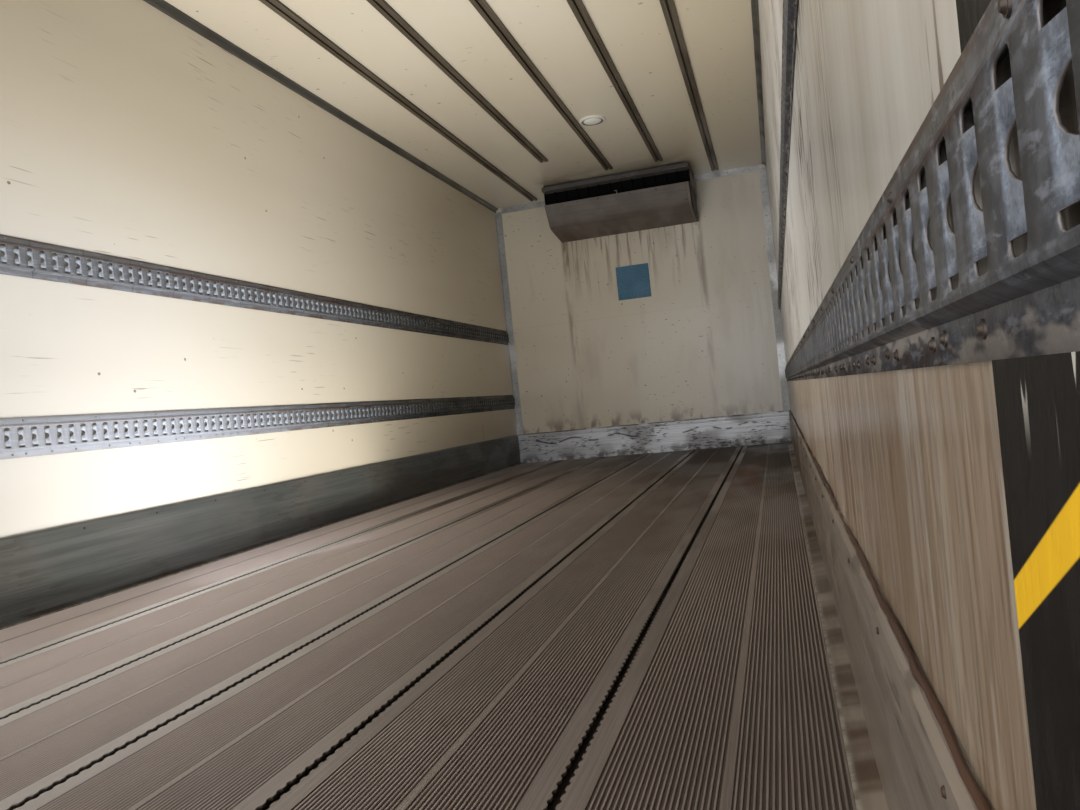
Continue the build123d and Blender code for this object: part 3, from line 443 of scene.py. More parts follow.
def rail_zinc():
    """Galvanised rails: darker bars, tongues lightened by painted light, ticks across the flanges, rust on
    the upper edges, and painted light and shade along each side.
    """
    c = colours()
    s = sizes()
    f = Finish("rail_zinc", "YZ")
    low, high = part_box("cargo_rail_lower_right")
    height = high.z - low.z
    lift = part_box("cargo_rail_upper_right")[0].z - low.z
    upper = f.range("Z", high.z + 0.1, high.z + 0.1001)
    z = f.sum("SUBTRACT", f.sum("SUBTRACT", "Z", low.z), f.times(upper, lift))
    left, right = f.span("X", -X_IN - 0.02, 0), f.span("X", 0, X_IN + 0.02)
    count = int((high.y - low.y) / s.cell_pitch)
    spare = (high.y - low.y) - count * s.cell_pitch
    along = f.cycle("Y", low.y + spare / 2, s.cell_pitch)
    share = s.cell_width / s.cell_pitch
    near, far = (1 - share) / 2, (1 + share) / 2
    # Painted light: the tongues, which face the opening, lighter than the bars.
    tongue = f.times(
        f.range(along, near - 0.01, near + 0.01), f.range(along, far + 0.05, far - 0.04),
        f.span(z, (height - s.cell_height) / 2, (height + s.cell_height) / 2),
    )
    dull = f.noise((6, 9), 0.38, 0.66, 3)
    spangle = f.noise((75, 75), 0.36, 0.66, 4, rough=0.7)
    grime = f.noise((60, 60), 0.38, 0.62, 5, shift=2, rough=0.75)
    top = f.span(z, height - 0.03, height + 0.01)
    flanges = f.plus(f.span(z, -0.01, 0.03), top)
    tick = f.cycle("Y", low.y, s.cell_pitch * 4.5)
    upper_edge = f.span(z, height - 0.005, height + 0.01, 0.001)
    edges = f.plus(upper_edge, f.span(z, height - 0.035, height - 0.025))
    smears = f.times(f.span(z, -0.01, 0.024, 0.003), f.noise((14, 40), 0.48, 0.62, 3, shift=6))
    colour = f.coats(
        (0.44, 0.45, 0.47),
        ((0.34, 0.34, 0.35), dull, 0.6),
        # Painted light: a lighter zinc on the tongues.
        (f.coats(c.zinc, ((0.54, 0.57, 0.62), dull, 0.4)), tongue),
        ((0.3, 0.31, 0.335), spangle, 0.38),
        ((0.74, 0.77, 0.82), f.noise((10, 130), 0.54, 0.7, 2, shift=4), 0.3),
        ((0.47, 0.48, 0.5), flanges, 0.35),
        ((0.12, 0.11, 0.1), f.range(tick, 0.0, 0.004), f.range(tick, 0.022, 0.016), flanges, 0.8),
        (c.rust, edges, f.noise((3.2, 2), 0.36, 0.56, 4, shift=3), 0.85),
        ((0.28, 0.24, 0.22), upper, top, f.noise((4, 60), 0.3, 0.6, 3), 0.5),
        ((0.33, 0.22, 0.14), f.span(z, -0.01, 0.013, 0.006), f.noise((11, 30), 0.46, 0.62, 3), 0.75),
        # Painted shade: the right rails darker.
        ((0.22, 0.22, 0.235), right, 0.6),
        ((0.13, 0.13, 0.14), right, grime, 0.5),
        ((0.55, 0.57, 0.61), right, f.noise((24, 90), 0.54, 0.68, 4, shift=8, rough=0.7), 0.4),
        ((0.62, 0.59, 0.56), right, smears, 0.75),
        # Painted light: the left rails lighter towards the rear, the lower ones most.
        ((0.86, 0.88, 0.92), left, f.range("Y", 0.5, -1.5), f.range(upper, 0, 1, 0.5, 0.08)),
        # Painted shade: the left rails darker towards the front.
        ((0.16, 0.165, 0.16), left, f.range("Y", -0.2, 2.0), 0.9),
    )
    f.relief(spangle, 0.0006, 0.3)
    return f.done(colour, f.range(dull, 0, 1, 0.36, 0.54), f.range(right, 0, 1, 0.3, 0.55))


def kick_finish(name, base, streak, scuffed):
    """Aluminium sheet with streaks along its length, dark scuffs and a chalky flange on the floor."""
    f = Finish(name, "YZ")
    lines = f.noise((1.6, 90), 0.42, 0.64, 4, rough=0.7)
    patch = f.noise((1.8, 4), 0.36, 0.66, 3)
    scuffs = f.times(f.noise((7, 45), 0.56, 0.64, 3), f.noise((2.4, 3), 0.45, 0.6, 1, shift=5))
    fold = f.span("Z", Z_LOAD + 0.005, Z_LOAD + 0.012, 0.001)
    chalk = f.coats(
        (0.62, 0.6, 0.555),
        ((0.42, 0.385, 0.34), f.noise((30, 30), 0.36, 0.66, 4, rough=0.7)),
        (colours().rust, f.noise((7, 9), 0.6, 0.72, 3, shift=2), 0.7),
    )
    colour = f.coats(
        base,
        (streak, f.noise((0.6, 18), 0.4, 0.64, 3), 0.55),
        (streak, lines, 0.45),
        ((0.4, 0.37, 0.34), patch, 0.3),
        ((0.24, 0.21, 0.18), scuffs, scuffed),
        (chalk, f.range("Z", Z_LOAD + 0.0055, Z_LOAD + 0.0045), 0.8),
        ((0.24, 0.15, 0.1), fold, f.noise((9, 2), 0.3, 0.6, 3, shift=5), 0.8),
    )
    f.relief(lines, 0.0005, 0.35)
    return f.done(colour, f.range(patch, 0, 1, 0.34, 0.56), 0.4)


def front_kick_finish():
    """Pale sheet with dark crescent scuffs, smudges along its foot and dirt along its top."""
    f = Finish("kick_front", "XZ")
    lines = f.noise((1.5, 90), 0.4, 0.66, 2)
    patch = f.noise((3, 5), 0.36, 0.68, 3)
    black = (0.1, 0.095, 0.1)
    bent = f.sum("SUBTRACT", "Z", f.times(f.sum("SINE", f.times("X", 16.0)), 0.02))
    arc_foot = f.range(bent, Z_KICK - 0.1, Z_KICK - 0.092)
    arc_head = f.range(bent, Z_KICK - 0.078, Z_KICK - 0.088)
    colour = f.coats(
        (0.8, 0.805, 0.82),
        ((0.54, 0.55, 0.57), lines, 0.35),
        ((0.55, 0.55, 0.56), patch, 0.35),
        (black, arc_foot, arc_head, f.noise((5.5, 3), 0.46, 0.56, 2, shift=6), 0.85),
        (black, f.noise((16, 70), 0.54, 0.62, 3), f.noise((3, 5), 0.44, 0.58, 1, shift=5), 0.7),
        ((0.16, 0.14, 0.13), f.range("Z", Z_LOAD + 0.1, Z_LOAD), f.noise((10, 9), 0.42, 0.62, 3), 0.75),
        (black, f.range("Z", Z_KICK - 0.012, Z_KICK - 0.004), f.noise((6, 30), 0.3, 0.52, 3), 0.85),
    )
    f.relief(lines, 0.0005, 0.35)
    return f.done(colour, f.range(patch, 0, 1, 0.34, 0.56), 0.35)


def plain_metal(name, base, shade, rough=(0.3, 0.5), metallic=0.6, grain=(40, 40, 40)):
    """Metal with cloudy wear and a fine grain."""
    f = Finish(name)
    fine = f.noise(grain, 0.35, 0.65, 2)
    patch = f.noise((3, 3, 3), 0.36, 0.66, 3)
    f.relief(fine, 0.0004, 0.3)
    colour = f.coats(base, (shade, fine, 0.35), (shade, patch, 0.45))
    return f.done(colour, f.range(patch, 0, 1, *rough), metallic)


def shared_metal(name, *settings):
    """A plain metal that several pieces share."""
    return bpy.data.materials.get(name) or plain_metal(name, *settings)


def gear_zinc():
    """Galvanised steel of hinges, lock gear and their bolts."""
    return shared_metal("gear_zinc", (0.66, 0.68, 0.7), (0.46, 0.46, 0.46), (0.3, 0.5), 0.85)


def trim_satin():
    """Satin aluminium of trims, edge profiles and door frames."""
    return shared_metal("trim_satin", colours().trim, (0.55, 0.55, 0.54), (0.32, 0.5))


def steel_dark():
    """Dark, slightly rusty steel of small fasteners."""
    return shared_metal("dark_fasteners", (0.2, 0.17, 0.15), (0.3, 0.2, 0.14), (0.4, 0.6), 0.4)


def black_metal(name):
    """Black painted steel of the door holders and the fan guards."""
    return plain_metal(name, (0.13, 0.13, 0.13), (0.2, 0.19, 0.18), (0.4, 0.6), 0.2)


def plastic(name, base, shade, rough=(0.3, 0.5), grain=(60, 60, 60), specular=0.5):
    """Painted or moulded surface with light dirt and a slight grain."""
    f = Finish(name)
    patch = f.noise((2.5, 2.5, 2.5), 0.38, 0.7, 3)
    fine = f.noise(grain, 0.4, 0.7, 1)
    colour = f.coats(base, (shade, patch, 0.45), (shade, fine, 0.15))
    f.relief(fine, 0.0004, 0.25)
    return f.done(colour, f.range(patch, 0, 1, *rough), specular=specular)


def evaporator_finish():
    """Dull grey sheet with a painted brown reflection towards its lower edge, a lighter end plate beside a
    dark joint, and painted shade at its end and along its top.
    """
    low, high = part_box("evaporator_housing")
    f = Finish("evaporator_sheet", "XZ")
    patch = f.noise((5, 6), 0.35, 0.66, 3)
    sheet = f.range("Z", high.z - 0.168, high.z - 0.172)
    # Painted reflection: brown towards the lower edge.
    dirt_and_reflection = f.range("Z", low.z + 0.16, low.z + 0.02)
    inner_gap = f.span("X", high.x - 0.0375, high.x - 0.0355, 0.0006)
    # Painted shade: the gap at the end of the sheet.
    outer_gap = f.span("X", high.x - 0.013, high.x + 0.01, 0.001)
    colour = f.coats(
        (0.5, 0.475, 0.46),
        ((0.41, 0.385, 0.37), patch, 0.5),
        ((0.36, 0.33, 0.315), f.noise((2.0, 60), 0.4, 0.66, 2), 0.25),
        # Painted reflection, brown and patchy, towards the lower edge.
        ((0.36, 0.26, 0.18), dirt_and_reflection, f.noise((4, 14), 0.15, 0.75, 3), 0.55),
        ((0.58, 0.54, 0.49), f.span("X", high.x - 0.036, high.x - 0.014, 0.001), sheet, 0.35),
        # A dark joint at the end plate and painted shade in the gap at the end.
        ((0.08, 0.06, 0.05), f.plus(inner_gap, outer_gap), sheet, 0.9),
        # Painted shade: darker along the top, under the ceiling.
        ((0.25, 0.24, 0.23), f.range("Z", high.z - 0.062, high.z - 0.058), 0.85),
    )
    f.relief(patch, 0.001, 0.3)
    return f.done(colour, f.range(patch, 0, 1, 0.4, 0.58), 0.15)


def wear_finish():
    """Black lining with one slanting yellow stripe on the right wall and pale chips near the rail."""
    f = Finish("wear_black", "YZ")
    slope = 0.56
    foot, head = Z_LOAD + 0.399, Z_LOAD + 0.4198
    past_edge = f.sum("SUBTRACT", "Y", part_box("wear_linings")[1].y)
    rise = f.sum("ADD", "Z", f.times(past_edge, slope))
    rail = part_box("cargo_rail_lower_right")[0].z
    fine = f.noise((60, 12), 0.4, 0.68, 3)
    yellow = f.coats(colours().stripe, ((0.72, 0.55, 0.08), fine, 0.4))
    colour = f.coats(
        (0.04, 0.032, 0.025),
        ((0.085, 0.07, 0.055), fine, 0.5),
        (yellow, f.span(rise, foot, head, 0.0008), f.range("X", -0.1, 0.1)),
        ((0.62, 0.6, 0.56), f.range("Z", rail - 0.04, rail), f.noise((70, 9), 0.62, 0.66, 2),
         f.range("Z", rail + 0.01, rail)),
    )
    f.relief(fine, 0.0006, 0.4)
    return f.done(colour, f.range(fine, 0, 1, 0.5, 0.7), specular=0.25)


def lens(name, tint):
    """Moulded lens with fine upright ribs in its relief."""
    f = Finish(name)
    ribs = f.sum("SINE", f.times(f.sum("ADD", "Y", "X"), 900.0))
    dust_and_shadow = f.noise((30, 30, 30), 0.4, 0.7, 2)
    f.relief(ribs, 0.0006, 0.4)
    colour = f.coats(tint, ((0.45, 0.4, 0.34), dust_and_shadow, 0.25))
    return f.done(colour, f.range(dust_and_shadow, 0, 1, 0.12, 0.26), coat=(0.5, 0.05))


def rubber_finish(name):
    """Black rubber, grey with dust in patches."""
    f = Finish(name)
    fine = f.noise((70, 70, 70), 0.4, 0.66, 2)
    dust_and_shadow = f.noise((6, 6, 6), 0.42, 0.7, 3)
    f.relief(fine, 0.0008, 0.4)
    colour = f.coats((0.12, 0.12, 0.12), ((0.26, 0.25, 0.23), dust_and_shadow, 0.5))
    return f.done(colour, f.range(fine, 0, 1, 0.6, 0.8))


def door_finish():
    """White door skin with a scuffed metal strip along the foot of its inner face."""
    low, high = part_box("door_right")
    f = Finish("door_skin", "YZ")
    inner = f.range(f.sum("ABSOLUTE", "X"), high.x - 0.012, high.x - 0.01)
    strip = f.times(inner, f.range("Z", low.z + 0.332, low.z + 0.33))
    scratch = f.noise((6, 120), 0.45, 0.7, 2)
    colour = f.coats(
        outer_skin(f),
        (f.coats((0.66, 0.66, 0.65), ((0.48, 0.47, 0.45), scratch)), strip),
        ((0.22, 0.21, 0.2), inner, f.span("Z", low.z + 0.326, low.z + 0.334, 0.001), 0.7),
    )
    f.relief(scratch, 0.0004, 0.3)
    return f.done(colour, f.range(scratch, 0, 1, 0.29, 0.4), f.range(strip, 0, 1, 0.0, 0.7))


def unit_finish():
    """White cover with panel seams and a block of pressed louvres on its front, with painted shade in the
    louvres' slots.
    """
    low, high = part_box("unit_housing")
    f = Finish("unit_paint", "XZ")
    dirt = f.noise((4, 4), 0.45, 0.75, 3)
    front = f.range("Y", high.y - 0.12, high.y - 0.118)
    middle = f.times(f.span("X", -0.2, 0.2), f.span("Z", low.z + 0.1, high.z - 0.2), front)
    side = f.sum("ABSOLUTE", "X")
    upright = [f.span(side, x, x + 0.003, 0.0005) for x in (0.24, 0.78)]
    seams = f.plus(*upright, f.span("Z", low.z + 0.066, low.z + 0.069, 0.0008))
    wave = f.cycle("Z", low.z + 0.1, 0.026)
    slats = f.times(f.range(wave, 0.05, 0.85), f.range(wave, 0.98, 0.9), middle)
    colour = f.coats(
        (0.84, 0.85, 0.85),
        ((0.68, 0.66, 0.61), dirt, 0.35),
        # Painted shade: dark bands in the louvres' slots.
        ((0.2, 0.2, 0.2), f.range(wave, 0.75, 0.93), middle, 0.75),
        ((0.25, 0.25, 0.24), seams, 0.8),
    )
    f.relief(slats, 0.004, 0.8)
    f.relief(seams, -0.002, 0.6)
    return f.done(colour, f.range(dirt, 0, 1, 0.29, 0.42), coat=(0.2, 0.15))


def plate_finish():
    """Plain blue plate, a little faded and dusty."""
    f = Finish("wall_plate", "XZ")
    faded = f.noise((6, 6), 0.35, 0.68, 3)
    specks = f.noise((90, 90), 0.62, 0.7, 1)
    colour = f.coats(colours().plate, ((0.22, 0.42, 0.52), faded, 0.45), ((0.55, 0.56, 0.52), specks, 0.4))
    f.relief(specks, 0.0004, 0.3)
    return f.done(colour, f.range(faded, 0, 1, 0.35, 0.5))


# Meshes


def linked(name, data):
    """A new object in the scene."""
    made = bpy.data.objects.new(name, data)
    bpy.context.scene.collection.objects.link(made)
    return made


def mesh_of(bm, name):
    """A mesh of what the bmesh holds, which is freed."""
    mesh = bpy.data.meshes.new(name)
    bm.to_mesh(mesh)
    bm.free()
    return mesh


def kinds(made, kind):
    """The vertices or the edges of what an operation made."""
    return [item for item in made["geom"] if isinstance(item, kind)]


def steps(start, end, step):
    """Places a step apart, from the start to just before the end."""
    while start < end:
        yield start
        start += step


def prism(bm, points, start, end):
    """An outline in X and Z, drawn out along Y into a closed bar."""
    cap = bm.faces.new([bm.verts.new((x, start, z)) for x, z in points])
    made = bmesh.ops.extrude_face_region(bm, geom=[cap], use_keep_orig=True)
    bmesh.ops.translate(bm, vec=(0, end - start, 0), verts=kinds(made, BMVert))


def block(bm, low, high):
    """A box between two corners."""
    low, high = Vector(low), Vector(high)
    size = [abs(a) for a in high - low]
    matrix = Matrix.Translation((low + high) / 2) @ Matrix.Diagonal((*size, 1))
    bmesh.ops.create_cube(bm, size=1, matrix=matrix)


def bevelled(bm, offset):
    """Takes off all edges."""
    bmesh.ops.bevel(
        bm, geom=bm.edges[:], offset=offset, segments=1, affect="EDGES", profile=0.5, material=-1
    )


def turned(direction):
    """A matrix that turns Z to the direction."""
    return Vector(direction).to_track_quat("Z", "Y").to_matrix().to_4x4()


def disc(bm, centre, direction, radius, height, top=None, sides=12):
    """A round boss that starts at the centre and rises along the direction."""
    top = radius if top is None else top
    matrix = Matrix.Translation(Vector(centre) + Vector(direction) * height / 2) @ turned(direction)
    bmesh.ops.create_cone(
        bm, cap_ends=True, segments=sides, radius1=radius, radius2=top, depth=height, matrix=matrix
    )


def rod(bm, start, end, radius, sides=12):
    """A round bar between two points."""
    way = Vector(end) - Vector(start)
    disc(bm, start, way.normalized(), radius, way.length, sides=sides)


def made_piece(bm, name, material, body="load_body", replaces=(), smooth=None, outward=True):
    """Turns a bmesh into a piece of the object that rides on a body."""
    if outward:
        bmesh.ops.recalc_face_normals(bm, faces=bm.faces)
    mesh = mesh_of(bm, name)
    for one in material if isinstance(material, list) else [material]:
        mesh.materials.append(one)
    piece = linked(name, mesh)
    if smooth is not None:
        mesh.shade_smooth()
        mesh.set_sharp_from_angle(angle=math.radians(smooth))
    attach(piece, body)
    if replaces:
        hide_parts(*replaces)
    return piece


def whole(bm, section, centre, axis, turns):
    """Turns a section all the way round an axis."""
    bmesh.ops.spin(bm, geom=section, cent=centre, axis=axis, angle=2 * math.pi, steps=turns, use_merge=True)


def spun(bm, profile, centre, direction, turns):
    """Turns a profile of radius and rise about an axis through the centre; a radius of 0 closes it."""
    chain = [bm.verts.new((radius, 0, rise)) for radius, rise in profile]
    lines = [bm.edges.new(pair) for pair in zip(chain, chain[1:])]
    whole(bm, chain + lines, (0, 0, 0), (0, 0, 1), turns)
    bmesh.ops.remove_doubles(bm, verts=bm.verts, dist=1e-6)
    bmesh.ops.transform(bm, matrix=Matrix.Translation(centre) @ turned(direction), verts=bm.verts)


def bead(bm, points, radii, sides=6):
    """A bead of sealant with a rounded section that passes through points along Y."""
    matrix = Matrix.Translation(points[0]) @ Matrix.Rotation(math.pi / 2, 4, "X")
    made = bmesh.ops.create_circle(bm, cap_ends=True, segments=sides, radius=radii[0], matrix=matrix)
    edges = list({edge for vertex in made["verts"] for edge in vertex.link_edges})
    for last, point, old, new in zip(points, points[1:], radii, radii[1:]):
        made = bmesh.ops.extrude_edge_only(bm, edges=edges)
        moved = kinds(made, BMVert)
        edges = [edge for edge in kinds(made, BMEdge) if all(vertex in moved for vertex in edge.verts)]
        for vertex in moved:
            vertex.co = Vector(point) + (vertex.co - Vector(last)) * (new / old)
    bmesh.ops.edgeloop_fill(bm, edges=edges)


def paint(material, *nodes):
    """Gives a material to nodes of the frame."""
    for name in nodes:
        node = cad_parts[name]
        node.data.materials.clear()
        node.data.materials.append(material)


def keep_lamp_off(*pieces):
    """Keeps the lamp in the opening off the doors, which close in front of it, and off the floor below."""
    group = bpy.data.collections.get("off_opening_lamp") or bpy.data.collections.new("off_opening_lamp")
    for piece in pieces:
        group.objects.link(piece)
    for item in group.collection_objects:
        item.light_linking.link_state = "EXCLUDE"
    bpy.data.objects["opening"].light_linking.receiver_collection = group


def repeated(cell, count, step):
    """A long mesh from a short one: copies side by side, joined where they meet."""
    mesh = mesh_of(cell, "cell")
    bm = bmesh.new()
    for number in range(count):
        before = len(bm.verts)
        bm.from_mesh(mesh)
        bm.verts.ensure_lookup_table()
        bmesh.ops.translate(bm, vec=Vector(step) * number, verts=bm.verts[before:])
    bpy.data.meshes.remove(mesh)
    bmesh.ops.remove_doubles(bm, verts=bm.verts, dist=1e-5)
    return bm


def trimmed(bm, y_low, y_high):
    """Cuts off what lies past the two ends."""
    for place, way in ((y_low, -1), (y_high, 1)):
        bmesh.ops.bisect_plane(
            bm, geom=bm.verts[:] + bm.edges[:] + bm.faces[:], dist=1e-6,
            plane_co=(0, place, 0), plane_no=(0, way, 0), clear_outer=True,
        )


def strap_heights():
    """Heights of the middles of a door's four hinge straps."""
    return [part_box("hinge_straps_right")[0].z + 0.03 + height for height in (0.0, 0.57, 1.17, 1.79)]


def track_centres():
    return [(number - (TRACKS - 1) / 2) * TRACK_PITCH for number in range(TRACKS)]


def plank_mesh():
    """Cross-section of ribs and a smooth strip for each plank, drawn out along the floor."""
    s = sizes()
    bm = bmesh.new()
    edges = [-X_IN]
    for centre in track_centres():
        edges += [centre - TRACK_WIDTH / 2, centre + TRACK_WIDTH / 2]
    edges.append(X_IN)
    field = Z_LOAD - s.rib_height
    half = s.rib_width / 2
    chamfer = s.rib_width * 0.2
    rib = ((-half, field), (chamfer - half, Z_LOAD), (half - chamfer, Z_LOAD), (half, field))
    for left, right in zip(edges[::2], edges[1::2]):
        middle = (left + right) / 2
        if left <= -X_IN:
            middle = right + TRACK_WIDTH / 2 - TRACK_PITCH / 2 - s.strip_shift
        if right >= X_IN:
            middle = left - TRACK_WIDTH / 2 + TRACK_PITCH / 2 + s.strip_shift
        strip = (middle - s.centre_strip / 2, middle + s.centre_strip / 2)
        points = [(left, Z_PLANK)]
        for low, high in ((left, strip[0]), (strip[1], right)):
            count = int((high - low) / s.rib_pitch)
            first = (low + high) / 2 - (count - 1) * s.rib_pitch / 2
            points.append((low, field))
            for number in range(count):
                points += [(first + number * s.rib_pitch + x, z) for x, z in rib]
            points.append((high, field))
            if high == strip[0]:
                points += [(strip[0], Z_LOAD), (strip[1], Z_LOAD)]
        points.append((right, Z_PLANK))
        prism(bm, points, Y_REAR, Y_KICK)
    return bm


def scalloped_track(bm, centre, z_face, lip, width, y_low, y_high, arc_steps, share=1.0):
    """The two lips of a track whose slot is a row of round holes joined by a narrower slit."""
    s = sizes()
    radius, slot = s.scallop_radius * share, s.slot_half * share
    turn = math.acos(slot / radius)
    edge = [(0.0, slot)]
    for step in range(arc_steps + 1):
        angle = -turn + 2 * turn * step / arc_steps
        edge.append((s.scallop_pitch / 2 + radius * math.sin(angle), radius * math.cos(angle)))
    edge.append((s.scallop_pitch, slot))
    for side in (-1, 1):
        cell = bmesh.new()
        chain = [cell.verts.new((centre + side * x, y, z_face)) for y, x in edge]
        lines = [cell.edges.new(pair) for pair in zip(chain, chain[1:])]
        for vertex in kinds(bmesh.ops.extrude_edge_only(cell, edges=lines), BMVert):
            vertex.co.x = centre + side * width / 2
        count = math.ceil((y_high - y_low) / s.scallop_pitch)
        row = repeated(cell, count, (0, s.scallop_pitch, 0))
        bmesh.ops.translate(row, vec=(0, y_low, 0), verts=row.verts)
        trimmed(row, y_low, y_high)
        depth = bmesh.ops.extrude_face_region(row, geom=row.faces[:], use_keep_orig=True)
        bmesh.ops.translate(row, vec=(0, 0, lip), verts=kinds(depth, BMVert))
        mesh = mesh_of(row, "row")
        bm.from_mesh(mesh)
        bpy.data.meshes.remove(mesh)


def rail_cell(sign):
    """One cell of a cargo rail: foot, shoulder, and a web with a window and its bitten tongue."""
    s = sizes()
    low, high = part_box("cargo_rail_lower_right")
    height = high.z - low.z
    web = high.x - low.x
    foot = 0.022
    shoulder = 0.008
    bm = bmesh.new()
    middle = height / 2
    y_near = (s.cell_pitch - s.cell_width) / 2
    y_far = y_near + s.cell_width
    end = s.cell_height / 2
    corner = 0.004
    y_edge = y_near + 0.0022

    def on_web(y, z):
        return bm.verts.new((sign * (X_IN - web), y, z))

    def on_tongue(y, z):
        drop = s.tongue_depth * (y_far - y) / s.cell_width
        return bm.verts.new((sign * (X_IN - web + drop), y, middle + z))

    def filled(*rings):
        pairs = [pair for ring in rings for pair in zip(ring, ring[1:] + ring[:1])]
        edges = [bm.edges.get(pair) or bm.edges.new(pair) for pair in pairs]
        bmesh.ops.triangle_fill(bm, edges=edges, use_beauty=True, normal=(sign, 0, 0))

    z_low, z_high = foot + shoulder, height - foot - shoulder
    corners = ((0, z_low), (s.cell_pitch, z_low), (s.cell_pitch, z_high), (0, z_high))
    outer = [on_web(y, z) for y, z in corners]
    joint = [on_web(y_far, middle + end - 0.0095), on_web(y_far, middle - end + 0.0065)]
    cut = corner * 0.3
    round_off = [(y_near, end - corner), (y_near + cut, end - cut), (y_near + corner, end),
                 (y_far - corner, end), (y_far - cut, end - cut), (y_far, end - corner)]
    window = [on_web(y, middle + z) for y, z in round_off] + joint
    window += [on_web(y, middle - z) for y, z in reversed(round_off)]
    filled(outer, window)
    tongue = [joint[0], on_tongue(y_edge + 0.0015, end - 0.0100), on_tongue(y_edge, end - 0.0120),
              on_tongue(y_edge, s.bite_radius + 0.0012), on_tongue(y_edge + 0.0010, s.bite_radius)]
    for step in range(1, 8):
        angle = math.pi * step / 8
        tongue.append(on_tongue(y_edge + s.bite_depth * math.sin(angle), s.bite_radius * math.cos(angle)))
    tongue += [on_tongue(y_edge + 0.0010, -s.bite_radius), on_tongue(y_edge, -s.bite_radius - 0.0012),
               on_tongue(y_edge, -end + 0.0085), on_tongue(y_edge + 0.0015, -end + 0.0070), joint[1]]
    filled(tongue)
    back = web - 0.003
    bend = ((0.3, 0.0004), (0.6, 0.0035), (0.8, 0.0065), (1.0, back))
    profile = [(share * shoulder, drop) for share, drop in bend] + [(shoulder + foot, back)]
    for z_edge, way in ((z_low, -1), (z_high, 1)):
        rim = [edge for edge in bm.edges if len(edge.link_faces) == 1]
        last = [edge for edge in rim if all(abs(vertex.co.z - z_edge) < 1e-6 for vertex in edge.verts)]
        for run, drop in profile:
            made = bmesh.ops.extrude_edge_only(bm, edges=last)
            for vertex in kinds(made, BMVert):
                vertex.co.z = z_edge + way * run
                vertex.co.x = sign * (X_IN - web + drop)
            last = kinds(made, BMEdge)
    return bm


def cargo_rail(level, sign, materials):
    """A whole cargo rail made of cells, trimmed at both ends."""
    s = sizes()
    name = f"cargo_rail_{level}_{'right' if sign > 0 else 'left'}"
    low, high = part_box(name)
    count = math.ceil((high.y - low.y) / s.cell_pitch) + 1
    bm = repeated(rail_cell(sign), count, (0, s.cell_pitch, 0))
    spare = (high.y - low.y) - (count - 2) * s.cell_pitch
    bmesh.ops.translate(bm, vec=(0, low.y + spare / 2 - s.cell_pitch, low.z), verts=bm.verts)
    trimmed(bm, low.y, high.y)
    for face in bm.faces:
        if face.normal.x * sign > 1e-4:
            face.normal_flip()
    piece = made_piece(
        bm, name + "_pressed", materials, replaces=(name,), smooth=8, outward=False
    )
    wall = piece.modifiers.new("sheet", "SOLIDIFY")
    wall.thickness = s.rail_sheet
    wall.offset = -1
    wall.material_offset_rim = 1
    return piece


# Operators


class PieceOperator(bpy.types.Operator):
    """What every piece's operator shares."""

    bl_options = {"REGISTER", "UNDO"}

    def execute(self, context):
        self.make()
        return {"FINISHED"}


